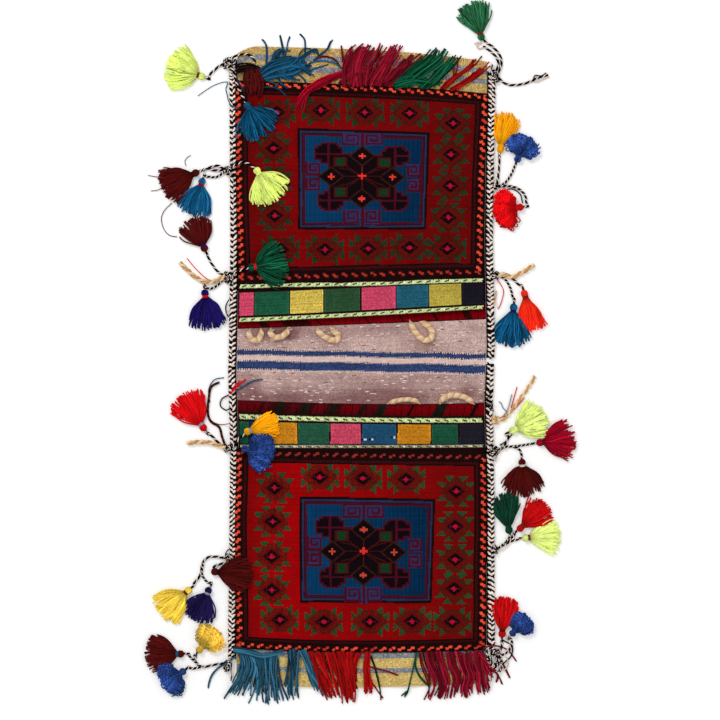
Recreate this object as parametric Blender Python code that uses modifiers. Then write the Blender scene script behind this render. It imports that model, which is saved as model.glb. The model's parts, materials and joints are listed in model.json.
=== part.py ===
"""A double saddle bag of woven cloth, lying open and flat, with tassels along both sides.

X runs across the bag, Y along it and Z up. The origin is the middle of the bridge's underside.
Lengths are in metres. Each pouch is measured outwards from its fold line, where it meets the bridge.
"""

import math

import bmesh
import bpy
from mathutils import Vector

# Cloth
BAG_WIDTH = 0.464
BRIDGE_LENGTH = 0.139
CLOTH_THICKNESS = 0.0035
GAP = 0.0003
UPPER_FOLD_RISE = 0.020
UPPER_END_RISE = -0.012
LOWER_FOLD_RISE = 0.0026
LOWER_END_RISE = 0.0
UPPER_STRIP_DEPTH = 0.0125
LOWER_STRIP_DEPTH = 0.0135
UPPER_BAND_DEPTH = 0.0575
LOWER_BAND_DEPTH = 0.063
UPPER_FACE_LENGTH = 0.3355
LOWER_FACE_LENGTH = 0.3595
UPPER_FLAP_LENGTH = 0.060
LOWER_FLAP_LENGTH = 0.0605

# Pouch faces and mouth bands
FACE_THICKNESS = 0.0045
FACE_CROWN = 0.010
FACE_INSET = 0.0025
FACE_SIDE_ROUND = 0.045
FACE_END_ROUND = 0.070
FACE_MOUTH_RUN = 0.110
MOUTH_CROWN_SHARE = 0.60
FACE_COLUMNS = 20
FACE_ROWS = 14
BAND_THICKNESS = 0.0045
BAND_EDGE_ROUND = 0.0012
SUPPORT_MARGIN = 0.0012

# Selvedge braid
BRAID_WIDTH = 0.014
BRAID_THICKNESS = 0.009
BRAID_ROUND = 0.003

# Tassels and their cords
TASSEL_LENGTH = 0.065
TASSEL_WIDTH = 0.044
TASSEL_THICKNESS = 0.012
TASSEL_LIFT = 0.0003
TASSEL_SIDES = 10
SUPPORT_SPOTS = 8
BASE_SPOTS = 4
CORD_DIAMETER = 0.0035
ROPE_DIAMETER = 0.006
CORD_STEP_DIAMETERS = 2.9
CORD_APPROACH_DIAMETERS = 2.0
CORD_REST = 0.0004
KNOT_RADIUS = 0.0045
KNOT_HEIGHT = 0.0051
SWING_HEIGHT = 0.012
HEAD_HINGE_HEIGHT = 0.006
CAP_WELD = 0.00001
PIXEL = 0.00175

# Closure cords
LOOP_CORD_DIAMETER = 0.004
LOOP_REACH = 0.030
LOOP_HALF_WIDTH = 0.018
LOOP_LINE_DEPTH = 0.0055

# Fringes
FRINGE_THICKNESS = 0.007
FRINGE_DEPTH = 0.056
FRINGE_OVERHANG = 0.017

# Each station of a tassel: its place along the tassel, its half width and its thickness, as shares
TASSEL_STATION_SHARES = (
    (0.00, 0.06, 0.30),
    (0.07, 0.11, 0.62),
    (0.15, 0.12, 0.68),
    (0.22, 0.10, 0.58),
    (0.36, 0.25, 0.80),
    (0.70, 0.42, 1.00),
    (0.94, 0.50, 0.98),
    (1.00, 0.44, 0.70),
)

POUCHES = {
    "upper": {
        "sign": 1,
        "fold_rise": UPPER_FOLD_RISE,
        "end_rise": UPPER_END_RISE,
        "strip": UPPER_STRIP_DEPTH,
        "band": UPPER_BAND_DEPTH,
        "face": UPPER_FACE_LENGTH,
        "flap": UPPER_FLAP_LENGTH,
    },
    "lower": {
        "sign": -1,
        "fold_rise": LOWER_FOLD_RISE,
        "end_rise": LOWER_END_RISE,
        "strip": LOWER_STRIP_DEPTH,
        "band": LOWER_BAND_DEPTH,
        "face": LOWER_FACE_LENGTH,
        "flap": LOWER_FLAP_LENGTH,
    },
}

# Where each knot sits: side, pouch and its share of the way from the fold line to the flap's end
KNOT_SHARES = {
    "left_corner": (-1, "upper", 0.972),
    "left_upper": (-1, "upper", 0.582),
    "left_mouth": (-1, "upper", 0.200),
    "left_lower_mouth": (-1, "lower", 0.151),
    "left_lower": (-1, "lower", 0.540),
    "left_foot": (-1, "lower", 0.909),
    "right_corner": (1, "upper", 0.946),
    "right_upper": (1, "upper", 0.516),
    "right_mouth": (1, "upper", 0.173),
    "right_rope": (1, "lower", 0.056),
    "right_lower_mouth": (1, "lower", 0.165),
    "right_lower": (1, "lower", 0.510),
    "right_foot": (1, "lower", 0.889),
}

# Each tassel: its knot, its head from the knot (out, up) in photograph pixels, the way that it
# points in degrees from straight out, its length and width shares, and whether it lies on the bag
TASSELS = {
    "lime_tassel_left_corner": ("left_corner", (21.5, -14), 19, 1.02, 1.38, False),
    "teal_tassel_on_face": ("left_corner", (-20, -40), -121, 0.98, 1.20, True),
    "maroon_tassel_left_upper": ("left_upper", (27.5, -1), -25, 1.02, 1.05, False),
    "blue_tassel_left_upper": ("left_upper", (23, -8), -77, 0.96, 1.10, False),
    "lime_tassel_on_face": ("left_upper", (-29.5, 2), -123.7, 0.97, 1.15, True),
    "maroon_tassel_left_mouth": ("left_mouth", (20.5, 25), 75, 0.86, 1.10, False),
    "green_tassel_on_face": ("left_mouth", (-23, 8), 172, 1.00, 1.30, True),
    "indigo_tassel_left_mouth": ("left_mouth", (21.5, -14), -96, 1.00, 1.12, False),
    "red_tassel_left_lower_mouth": ("left_lower_mouth", (21, 18), 57, 1.06, 1.12, False),
    "maroon_tassel_across_braid": ("left_lower", (14.5, -13), -174, 1.02, 0.98, True),
    "yellow_tassel_left_lower": ("left_lower", (35.5, -30), -41, 1.00, 1.10, False),
    "indigo_tassel_left_lower": ("left_lower", (16.5, -29.5), -68, 0.90, 1.00, False),
    "yellow_tassel_left_foot": ("left_foot", (28.5, 11), 130, 0.84, 0.80, False),
    "maroon_tassel_left_foot": ("left_foot", (42.5, 9), 0, 0.96, 1.12, False),
    "blue_tassel_left_foot": ("left_foot", (41, -7), -35, 0.80, 1.05, False),
    "green_tassel_right_corner": ("right_corner", (-15, 36.5), 106, 0.98, 1.00, False),
    "orange_tassel_right_upper": ("right_upper", (3, 34.5), 80, 1.00, 0.82, False),
    "blue_tassel_right_upper": ("right_upper", (19.5, 25), 69, 0.80, 1.00, False),
    "red_tassel_right_upper": ("right_upper", (26, -20), -170, 0.62, 1.30, False),
    "blue_tassel_right_mouth": ("right_mouth", (17, -29), -95.5, 1.06, 1.08, False),
    "orange_tassel_right_mouth": ("right_mouth", (26.6, -15.4), -74.5, 1.04, 0.80, False),
    "lime_tassel_right_lower_mouth": ("right_lower_mouth", (13, 19), 26, 1.00, 1.20, False),
    "crimson_tassel_right_lower_mouth": ("right_lower_mouth", (40, 8), 8, 0.97, 1.25, False),
    "maroon_tassel_right_lower_mouth": ("right_lower_mouth", (25, -8.5), -83, 0.89, 1.20, False),
    "green_tassel_right_lower": ("right_lower", (12.5, 16), 93, 0.93, 0.92, False),
    "red_tassel_right_lower": ("right_lower", (21, 19), 41, 0.96, 0.90, False),
    "lime_tassel_right_lower": ("right_lower", (26, 11), 5, 0.94, 1.02, False),
    "red_tassel_right_foot": ("right_foot", (5, 20), 86, 1.00, 0.70, False),
    "blue_tassel_right_foot": ("right_foot", (14, 22), 50, 0.72, 0.80, False),
}

# The two tassels on the lower mouth hang on one cord and make one piece
PAIR = {
    "orange_tassel_on_mouth": ("left_lower_mouth", (-19.5, 15), 149, 0.92, 0.92, True),
    "blue_tassel_on_mouth": ("left_lower_mouth", (-17, 3), -154, 0.88, 1.02, True),
}

# The free cords: for each tassel, the points that its cord passes, from the knot (out, up) in
# photograph pixels. The first is the knot and the last is worked out from the tassel's head.
CORD_ROUTES = {
    "left_corner_cord": {
        "lime_tassel_left_corner": ((0, 0), (6, -2), (12, -7), (17, -12)),
    },
    "left_upper_cord": {
        "maroon_tassel_left_upper": ((0, 0), (8, 5), (17, 3), (22.5, 0)),
        "blue_tassel_left_upper": ((0, 0), (9, -6), (17, -6), (22, -5)),
    },
    "left_mouth_cord": {
        "maroon_tassel_left_mouth": ((0, 0), (8, 4), (15, 13), (19, 21)),
        "indigo_tassel_left_mouth": ((0, 0), (7, -8), (14, -12.5), (19.5, -12)),
        None: ((0, 0), (10, -5), (21, -6), (31, -1), (39, 6), (46, 13)),
    },
    "left_lower_mouth_cord": {
        "red_tassel_left_lower_mouth": ((0, 0), (6, 4), (13, 11), (18.5, 15.5)),
        None: ((0, 0), (8, 3), (17, 5.5), (27, 6), (39, 5)),
        "loop": ((0, 0), (4, 11), (7, 21), (15, 26.5), (18.3, 35), (17.5, 49), (15, 61), (7, 66)),
    },
    "left_lower_cord": {
        "yellow_tassel_left_lower": ((0, 0), (9, 1.5), (18, 1), (23.5, -5), (26, -17), (33, -26)),
        "indigo_tassel_left_lower": ((23.2, -4.6), (24, -16), (18.5, -24)),
    },
    "left_foot_cord": {
        "yellow_tassel_left_foot": ((0, 0), (12, -2), (24, -4), (31, 2), (30, 8)),
        "maroon_tassel_left_foot": ((28.5, -0.9), (33, 3), (37, 7)),
        "blue_tassel_left_foot": ((23.8, -3.7), (31, -5.5), (36, -5.5)),
    },
    "right_corner_tail": {
        None: ((0, 0), (9, -7.4), (19.5, -8.5), (31, -6), (42, -1), (51, 1.5)),
    },
    "right_upper_cord": {
        "orange_tassel_right_upper": ((0, 0), (1.6, 14), (2.4, 26), (2.6, 31)),
        "blue_tassel_right_upper": ((0, 0), (8, 4), (14, 12), (17.5, 20)),
        "red_tassel_right_upper": ((0, 0), (11, 1), (21, -1.5), (28, -8), (29.5, -16)),
    },
    "right_mouth_cord": {
        "orange_tassel_right_mouth": ((0, 0), (8, 1.5), (16, -4), (22.5, -10)),
        "blue_tassel_right_mouth": ((0, 0), (8, -4), (13.5, -13), (16, -23)),
        None: ((0, 0), (8, 0), (15, -2), (22, 1), (29, 5), (37, 10)),
    },
    "right_lower_mouth_cord": {
        "lime_tassel_right_lower_mouth": ((0, 0), (6, 4), (10, 10), (11.5, 15)),
        "crimson_tassel_right_lower_mouth": ((0, 0), (8, 4), (16, 4.5), (28, 6), (36, 7.5)),
        "maroon_tassel_right_lower_mouth": ((16.2, 4.3), (22, 2), (24.5, -3)),
    },
    "right_lower_cord": {
        "green_tassel_right_lower": ((0, 0), (6, 4), (10, 8), (12, 12)),
        "red_tassel_right_lower": ((0, 0), (8, 6), (14, 11), (18, 15)),
        "lime_tassel_right_lower": ((0, 0), (8, 5), (16, 8.5), (22, 10)),
    },
    "right_foot_cord": {
        "red_tassel_right_foot": ((0, 0), (3, 6), (5, 12), (5, 17)),
        "blue_tassel_right_foot": ((0, 0), (9, 4), (15, 11), (14, 18)),
    },
}
ROPE_ROUTE = ((0, 0), (8, 1.5), (14.5, 10), (24, 22.5), (31, 32), (38, 43.5))

# The cords of the tassels that are one piece with their tassel, in the same pixels from the knot
OWN_CORD_ROUTES = {
    "teal_tassel_on_face": ((-2, -0.5), (-5.5, -4), (-8, -10), (-12, -24), (-17, -34)),
    "lime_tassel_on_face": ((-2, 0), (-6, 3), (-11, 6.5), (-18, 8), (-25, 5)),
    "green_tassel_on_face": ((-2, 0.3), (-6, 2), (-11, 4), (-17, 6.5)),
    "maroon_tassel_across_braid": ((-4, -4.4), (3, -5), (8, -6.5), (12.5, -9)),
    "green_tassel_right_corner": ((0.86, 2.8), (4.5, 12), (3, 21), (-4, 29.5), (-11.5, 34.5)),
    "orange_tassel_on_mouth": ((-2, 0), (-6, 1), (-10, 6), (-15, 11.5)),
    "blue_tassel_on_mouth": ((-5.2, 0.7), (-11, 2)),
}

# A tassel that lifts about a line under its own head: that line's place from the knot in pixels
HEAD_HINGES = {"maroon_tassel_across_braid": (17, -13)}

# Each closure loop: its place across as a share of the cloth's half width from the middle, then
# its half width, its reach and how far its end leans to the right, as shares of the loops' sizes
LOOP_SHARES = {
    "upper": (
        (-0.854, 0.70, 0.97, 0.0),
        (-0.667, 0.94, 0.86, 0.1),
        (-0.263, 1.10, 1.10, 0.3),
        (0.470, 0.55, 1.26, 0.6),
    ),
    "lower": (
        (0.3505, 1.45, 0.50, 0.0),
        (0.775, 1.60, 0.70, 0.0),
    ),
}

# The outline of a closure loop: each point's place across and out, as shares of the loop's own
LOOP_FORM_SHARES = (
    (-1.25, 0), (-1, 0.08), (-0.92, 0.50), (-0.55, 0.90), (0, 1), (0.55, 0.90), (0.92, 0.50),
    (1, 0.08), (1.25, 0),
)

# The fringes' outlines: places across as shares of the half width, then depths as shares of the
# fringe's whole depth, from the edge that is sewn to the cloth
FRINGE_SHARES = {
    "upper": (
        (-0.76, 0.30), (-0.72, 0.86), (-0.62, 0.98), (-0.50, 0.84), (-0.40, 0.99), (-0.24, 0.82),
        (-0.16, 0.92), (-0.05, 0.80), (0.06, 0.96), (0.20, 0.84), (0.32, 0.90), (0.40, 0.72),
        (0.52, 0.90), (0.66, 0.78), (0.74, 0.84), (0.86, 0.66), (0.90, 0.30),
    ),
    "lower": (
        (-0.92, 0.30), (-0.86, 0.90), (-0.72, 1.00), (-0.60, 0.88), (-0.46, 0.97), (-0.34, 0.85),
        (-0.22, 0.97), (-0.08, 0.88), (0.02, 0.95), (0.10, 0.72), (0.26, 0.74), (0.40, 0.82),
        (0.52, 0.97), (0.66, 0.90), (0.78, 0.99), (0.88, 0.80), (0.94, 0.30),
    ),
}

COLOURS = {
    "mauve": (0.46, 0.33, 0.33),
    "ochre": (0.56, 0.42, 0.14),
    "dark_red": (0.27, 0.003, 0.003),
    "bright_red": (0.48, 0.005, 0.006),
    "band": (0.10, 0.23, 0.12),
    "braid": (0.30, 0.28, 0.25),
    "tan": (0.74, 0.49, 0.19),
    "cord": (0.22, 0.20, 0.18),
    "lime": (0.60, 0.83, 0.19),
    "teal": (0.01, 0.11, 0.26),
    "maroon": (0.07, 0.004, 0.008),
    "blue": (0.02, 0.06, 0.26),
    "green": (0.01, 0.10, 0.05),
    "indigo": (0.02, 0.01, 0.12),
    "red": (0.64, 0.004, 0.01),
    "orange": (0.85, 0.35, 0.01),
    "yellow": (0.82, 0.66, 0.08),
    "crimson": (0.43, 0.0, 0.03),
}

HALF_WIDTH = BAG_WIDTH / 2
CLOTH_HALF = HALF_WIDTH - BRAID_WIDTH - GAP
FACE_BASE = CLOTH_THICKNESS + GAP
BAND_BASE = FACE_BASE + FACE_CROWN * MOUTH_CROWN_SHARE
KNOT_X = HALF_WIDTH + GAP + KNOT_RADIUS


def pouch_depths(pouch):
    """How far the mouth's edge, the face's two ends and the flap's end lie from the fold line."""
    size = POUCHES[pouch]
    mouth = size["strip"]
    near = mouth + size["band"]
    far = near + size["face"]
    return mouth, near, far, far + size["flap"]


def rise_at(pouch, depth):
    """How much higher along Y the right side lies than the left at a depth."""
    size = POUCHES[pouch]
    reach = pouch_depths(pouch)[3]
    return size["fold_rise"] + (size["end_rise"] - size["fold_rise"]) * depth / reach


def place(pouch, across, depth):
    """The point of the row frame at a distance from the centre line and from the fold line."""
    size = POUCHES[pouch]
    y = size["sign"] * (BRIDGE_LENGTH / 2 + depth)
    return across, y + rise_at(pouch, depth) * across / BAG_WIDTH


def depth_of(pouch, x, y):
    """The depth from the fold line at a point, the other way round from place."""
    size = POUCHES[pouch]
    slope = (size["end_rise"] - size["fold_rise"]) / pouch_depths(pouch)[3] * x / BAG_WIDTH
    level = y - size["fold_rise"] * x / BAG_WIDTH - size["sign"] * BRIDGE_LENGTH / 2
    return level / (size["sign"] + slope)


def rounded(distance, run):
    """A rise from 0 at an edge to 1 at a distance of run from it."""
    return 1 - (1 - min(max(distance / run, 0), 1)) ** 2


def crown_at(pouch, across, depth):
    """The height of the pouch's inner space at a place."""
    _, near, far, _ = pouch_depths(pouch)
    side = rounded(CLOTH_HALF - FACE_INSET - abs(across), FACE_SIDE_ROUND)
    end = rounded(far - depth, FACE_END_ROUND)
    mouth = rounded(depth - near, FACE_MOUTH_RUN)
    mouth = MOUTH_CROWN_SHARE + (1 - MOUTH_CROWN_SHARE) * mouth
    return FACE_CROWN * side * min(end, mouth)


def support_height(x, y):
    """The height of the bag's upper side at a place, or 0 beside it."""
    if abs(x) > HALF_WIDTH:
        return 0.0
    if abs(x) > CLOTH_HALF:
        return BRAID_THICKNESS
    pouch = "upper" if y > 0 else "lower"
    depth = depth_of(pouch, x, y)
    mouth, near, far, end = pouch_depths(pouch)
    if near <= depth <= far:
        return FACE_BASE + FACE_THICKNESS + crown_at(pouch, x, depth) + SUPPORT_MARGIN
    if mouth <= depth < near:
        return BAND_BASE + BAND_THICKNESS
    return CLOTH_THICKNESS if depth <= end else 0.0


def support_near(x, y, reach):
    """The highest support within a distance of a place."""
    turns = [2 * math.pi * k / SUPPORT_SPOTS for k in range(SUPPORT_SPOTS)]
    spots = [(x + reach * math.cos(turn), y + reach * math.sin(turn)) for turn in turns]
    return max(support_height(*spot) for spot in [(x, y), *spots])


def knot_point(knot):
    side, pouch, share = KNOT_SHARES[knot]
    x, y = place(pouch, side * HALF_WIDTH, share * pouch_depths(pouch)[3])
    return Vector((side * KNOT_X, y, KNOT_HEIGHT))


def from_knot(knot, out, up):
    """The plan point that lies so many pixels outwards and up the photograph from a knot."""
    side = KNOT_SHARES[knot][0]
    start = knot_point(knot)
    return start.x + side * out * PIXEL, start.y + up * PIXEL


def clear_scene():
    for thing in list(bpy.data.objects):
        bpy.data.objects.remove(thing, do_unlink=True)
    for group in (bpy.data.meshes, bpy.data.curves, bpy.data.materials):
        for thing in list(group):
            group.remove(thing)


def make_collection(name):
    collection = bpy.data.collections.new(name)
    bpy.context.scene.collection.children.link(collection)
    return collection


def material_of(name):
    if name in bpy.data.materials:
        return bpy.data.materials[name]
    material = bpy.data.materials.new(name)
    material.use_nodes = True
    shader = material.node_tree.nodes["Principled BSDF"]
    shader.inputs["Base Color"].default_value = (*COLOURS[name], 1)
    shader.inputs["Roughness"].default_value = 0.9
    shader.inputs["Metallic"].default_value = 0.0
    return material


def add_object(name, data, colour):
    thing = bpy.data.objects.new(name, data)
    PARTS.objects.link(thing)
    data.materials.append(material_of(colour))
    return thing


def mesh_from(bm, name):
    bmesh.ops.recalc_face_normals(bm, faces=bm.faces)
    mesh = bpy.data.meshes.new(name)
    bm.to_mesh(mesh)
    bm.free()
    return mesh


def slab(name, corners, bottom, top, edge_round, colour):
    """A cube whose corners are moved to a four cornered plan, with rounded edges."""
    bm = bmesh.new()
    bmesh.ops.create_cube(bm, size=2)
    for vert in bm.verts:
        low_x, low_y = vert.co.x < 0, vert.co.y < 0
        x, y = corners[(0 if low_x else 1) if low_y else (3 if low_x else 2)]
        vert.co = (x, y, bottom if vert.co.z < 0 else top)
    thing = add_object(name, mesh_from(bm, name), colour)
    if edge_round:
        bevel = thing.modifiers.new("edge", "BEVEL")
        bevel.width = edge_round
        bevel.segments = 1
        bevel.limit_method = "ANGLE"
    return thing


def strip_corners(pouch, low_across, high_across, near, far):
    """The plan corners between two distances across and two depths, anticlockwise from above."""
    corners = [
        place(pouch, low_across, near),
        place(pouch, high_across, near),
        place(pouch, high_across, far),
        place(pouch, low_across, far),
    ]
    if POUCHES[pouch]["sign"] < 0:
        corners = [corners[3], corners[2], corners[1], corners[0]]
    return corners


def bridge_corners(low_across, high_across):
    low_y = [place("lower", across, -GAP / 2)[1] for across in (low_across, high_across)]
    high_y = [place("upper", across, -GAP / 2)[1] for across in (low_across, high_across)]
    return [
        (low_across, low_y[0]),
        (high_across, low_y[1]),
        (high_across, high_y[1]),
        (low_across, high_y[0]),
    ]


def make_bridge():
    corners = bridge_corners(-CLOTH_HALF, CLOTH_HALF)
    slab("bridge", corners, 0, CLOTH_THICKNESS, 0, "mauve")
    for side, name in ((-1, "left"), (1, "right")):
        low, high = sorted((side * (HALF_WIDTH - BRAID_WIDTH), side * HALF_WIDTH))
        corners = bridge_corners(low, high)
        slab(f"{name}_bridge_braid", corners, 0, BRAID_THICKNESS, BRAID_ROUND, "braid")


def make_back(pouch):
    end = pouch_depths(pouch)[3]
    corners = strip_corners(pouch, -CLOTH_HALF, CLOTH_HALF, GAP / 2, end)
    slab(f"{pouch}_back", corners, 0, CLOTH_THICKNESS, 0, "ochre")


def make_braids(pouch):
    end = pouch_depths(pouch)[3]
    for side, name in ((-1, "left"), (1, "right")):
        low, high = sorted((side * (HALF_WIDTH - BRAID_WIDTH), side * HALF_WIDTH))
        corners = strip_corners(pouch, low, high, GAP / 2, end)
        slab(f"{name}_{pouch}_braid", corners, 0, BRAID_THICKNESS, BRAID_ROUND, "braid")


def make_face(pouch, colour):
    """A crowned panel that rests on the back cloth at its sides and far end and is open at the mouth."""
    _, near, far, _ = pouch_depths(pouch)
    half = CLOTH_HALF - FACE_INSET
    start = near + GAP
    bm = bmesh.new()
    bmesh.ops.create_grid(bm, x_segments=FACE_COLUMNS, y_segments=FACE_ROWS, size=1)
    for vert in bm.verts:
        # points are closer together near the edges, where the panel curves most
        across = half * math.sin(vert.co.x * math.pi / 2)
        share = (1 + vert.co.y) / 2
        depth = start + (far - FACE_INSET - start) * math.sin(share * math.pi / 2)
        height = crown_at(pouch, across, depth)
        vert.co = (*place(pouch, across, depth), FACE_BASE + height)
    for face in bm.faces:
        face.normal_update()
        if face.normal.z < 0:
            face.normal_flip()
    mesh = bpy.data.meshes.new(f"{pouch}_face")
    bm.to_mesh(mesh)
    bm.free()
    thing = add_object(f"{pouch}_face", mesh, colour)
    wall = thing.modifiers.new("wall", "SOLIDIFY")
    wall.thickness = FACE_THICKNESS
    wall.offset = 1
    mesh.shade_smooth()


def make_band(pouch):
    """The mouth's edge, which lifts at its line with the face."""
    mouth, near, _, _ = pouch_depths(pouch)
    half = CLOTH_HALF - FACE_INSET
    corners = strip_corners(pouch, -half, half, mouth, near - GAP)
    top = BAND_BASE + BAND_THICKNESS
    slab(f"{pouch}_mouth_band", corners, BAND_BASE, top, BAND_EDGE_ROUND, "band")


def make_fringe(pouch):
    """Loose yarn lying on the end flap and over its edge."""
    _, _, _, end = pouch_depths(pouch)
    sign = POUCHES[pouch]["sign"]
    root = end + FRINGE_OVERHANG - FRINGE_DEPTH
    outline = []
    for across_share, depth_share in FRINGE_SHARES[pouch]:
        across = across_share * CLOTH_HALF
        outline.append(place(pouch, across, root + depth_share * FRINGE_DEPTH))
    first, last = FRINGE_SHARES[pouch][0][0], FRINGE_SHARES[pouch][-1][0]
    outline.append(place(pouch, last * CLOTH_HALF, root))
    outline.append(place(pouch, first * CLOTH_HALF, root))
    curve = bpy.data.curves.new(f"{pouch}_fringe", "CURVE")
    curve.dimensions = "2D"
    curve.fill_mode = "BOTH"
    curve.extrude = FRINGE_THICKNESS / 2
    spline = curve.splines.new("POLY")
    spline.points.add(len(outline) - 1)
    for point, (x, y) in zip(spline.points, outline[::sign]):
        point.co = (x, y, 0, 1)
    spline.use_cyclic_u = True
    thing = add_object(f"{pouch}_fringe", curve, "teal" if sign > 0 else "crimson")
    thing.location.z = CLOTH_THICKNESS + GAP + FRINGE_THICKNESS / 2


def smooth_route(points, step):
    """Points about a step apart on a smooth curve through the route's points."""
    points = [Vector(p) for p in points]
    padded = [2 * points[0] - points[1], *points, 2 * points[-1] - points[-2]]
    fine = []
    for i in range(1, len(padded) - 2):
        p0, p1, p2, p3 = padded[i - 1 : i + 3]
        count = max(1, round((p2 - p1).length / step))
        for k in range(count):
            t = k / count
            fine.append(
                0.5 * ((2 * p1) + (p2 - p0) * t + (2 * p0 - 5 * p1 + 4 * p2 - p3) * t * t
                       + (3 * p1 - p0 - 3 * p2 + p3) * t * t * t)
            )
    fine.append(points[-1])
    return fine


def tube_curve(name, points, diameter):
    curve = bpy.data.curves.new(name, "CURVE")
    curve.dimensions = "3D"
    curve.bevel_depth = diameter / 2
    curve.bevel_resolution = 2
    curve.use_fill_caps = True
    spline = curve.splines.new("POLY")
    fine = smooth_route(points, CORD_STEP_DIAMETERS * diameter)
    spline.points.add(len(fine) - 1)
    for point, place_at in zip(spline.points, fine):
        point.co = (*place_at, 1)
    return curve


def tube_tool(name, points, diameter):
    """A tube as a mesh with its caps welded on, for a Boolean."""
    guide = bpy.data.objects.new(name, tube_curve(name, points, diameter))
    TOOLS.objects.link(guide)
    bpy.context.view_layer.update()
    graph = bpy.context.evaluated_depsgraph_get()
    mesh = bpy.data.meshes.new_from_object(guide.evaluated_get(graph))
    bpy.data.objects.remove(guide, do_unlink=True)
    bm = bmesh.new()
    bm.from_mesh(mesh)
    bmesh.ops.remove_doubles(bm, verts=bm.verts, dist=CAP_WELD)
    bmesh.ops.recalc_face_normals(bm, faces=bm.faces)
    bm.to_mesh(mesh)
    bm.free()
    tool = bpy.data.objects.new(name, mesh)
    TOOLS.objects.link(tool)
    tool.hide_render = True
    tool.display_type = "WIRE"
    return tool


def join_with(thing, tool):
    union = thing.modifiers.new(tool.name, "BOOLEAN")
    union.operation = "UNION"
    union.solver = "EXACT"
    union.object = tool


def tassel_frame(row):
    """A tassel's tip, the way that it points and its length, in plan."""
    knot, head, degrees, length_share, _, _ = row
    side = KNOT_SHARES[knot][0]
    x, y = from_knot(knot, *head)
    angle = math.radians(degrees)
    way = Vector((side * math.cos(angle), math.sin(angle)))
    return Vector((x, y)), way, TASSEL_LENGTH * length_share


def tassel_rings(row):
    """The rings of a tassel, each the place of its centre, its half width and its half thickness."""
    tip, way, length = tassel_frame(row)
    across = Vector((-way.y, way.x))
    rings = []
    for along_share, width_share, thick_share in TASSEL_STATION_SHARES:
        centre = tip + way * length * along_share
        half = TASSEL_WIDTH * row[4] * width_share
        thick = TASSEL_THICKNESS * thick_share / 2
        base = 0.0
        if row[5]:
            spots = [centre + across * half * k / BASE_SPOTS for k in range(-BASE_SPOTS, BASE_SPOTS + 1)]
            base = max(support_near(*spot, thick) for spot in spots)
        rings.append([centre, half, thick, base])
    # a ring is never far below its neighbours, so a tassel doesn't sink between two supports
    if row[5]:
        bases = [ring[3] for ring in rings]
        for i, ring in enumerate(rings):
            ring[3] = max(bases[max(0, i - 1) : i + 2])
    return [
        (Vector((centre.x, centre.y, base + TASSEL_LIFT + thick)), half, thick)
        for centre, half, thick, base in rings
    ]


def tip_height(row):
    return tassel_rings(row)[0][0].z


def tassel_mesh(name, row):
    """A round head that is tied off and a skirt that spreads and lies flat."""
    _, way, _ = tassel_frame(row)
    across = Vector((-way.y, way.x, 0))
    bm = bmesh.new()
    loops = []
    for centre, half, thick in tassel_rings(row):
        loop = []
        for k in range(TASSEL_SIDES):
            turn = 2 * math.pi * k / TASSEL_SIDES
            side = across * half * math.cos(turn)
            loop.append(bm.verts.new(centre + side + Vector((0, 0, thick * math.sin(turn)))))
        loops.append(loop)
    for low, high in zip(loops, loops[1:]):
        for k in range(TASSEL_SIDES):
            after = (k + 1) % TASSEL_SIDES
            bm.faces.new((low[k], low[after], high[after], high[k]))
    bm.faces.new(loops[0])
    bm.faces.new(loops[-1])
    mesh = mesh_from(bm, name)
    mesh.shade_smooth()
    return mesh


def colour_of(name):
    return name.split("_")[0]


def own_cord_points(name, row):
    """The route of a cord that is one piece with its tassel, from beside the knot into the head."""
    knot = row[0]
    points = []
    for out, up in OWN_CORD_ROUTES[name]:
        x, y = from_knot(knot, out, up)
        base = support_near(x, y, CORD_DIAMETER) if row[5] else 0.0
        points.append(Vector((x, y, base + CORD_REST + CORD_DIAMETER / 2)))
    tip, way, length = tassel_frame(row)
    inside = tip + way * length * TASSEL_STATION_SHARES[2][0]
    points[0].z = max(points[0].z, KNOT_HEIGHT)
    points.append(Vector((inside.x, inside.y, tip_height(row))))
    return points


def make_tassels():
    for name, row in TASSELS.items():
        thing = add_object(name, tassel_mesh(name, row), colour_of(name))
        if name in OWN_CORD_ROUTES:
            join_with(thing, tube_tool(f"{name}_cord", own_cord_points(name, row), CORD_DIAMETER))


def make_pair():
    """The orange and blue tassels on the lower mouth, on one cord."""
    first, second = PAIR
    thing = add_object("tassel_pair_on_mouth", tassel_mesh(first, PAIR[first]), "orange")
    join_with(thing, tube_tool(f"{first}_cord", own_cord_points(first, PAIR[first]), CORD_DIAMETER))
    join_with(thing, tube_tool(f"{second}_cord", own_cord_points(second, PAIR[second]), CORD_DIAMETER))
    other = bpy.data.objects.new(second, tassel_mesh(second, PAIR[second]))
    TOOLS.objects.link(other)
    other.hide_render = True
    other.display_type = "WIRE"
    join_with(thing, other)


def cord_points(knot, tassel, route, diameter):
    """A free cord's points: out of the knot, down to the floor and on to the tassel's head."""
    lying = CORD_REST + diameter / 2
    points = []
    for i, (out, up) in enumerate(route):
        x, y = from_knot(knot, out, up)
        points.append(Vector((x, y, KNOT_HEIGHT if i == 0 else lying)))
    if tassel in TASSELS:
        # the cord comes in straight behind the tassel's head
        tip, way, _ = tassel_frame(TASSELS[tassel])
        for back in (GAP + CORD_APPROACH_DIAMETERS * diameter, GAP):
            end = tip - way * back
            points.append(Vector((end.x, end.y, tip_height(TASSELS[tassel]))))
    return points


def make_knot(name, knot, colour):
    bm = bmesh.new()
    bmesh.ops.create_uvsphere(bm, u_segments=10, v_segments=6, radius=KNOT_RADIUS)
    bmesh.ops.translate(bm, verts=bm.verts, vec=knot_point(knot))
    mesh = mesh_from(bm, name)
    mesh.shade_smooth()
    return add_object(name, mesh, colour)


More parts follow.
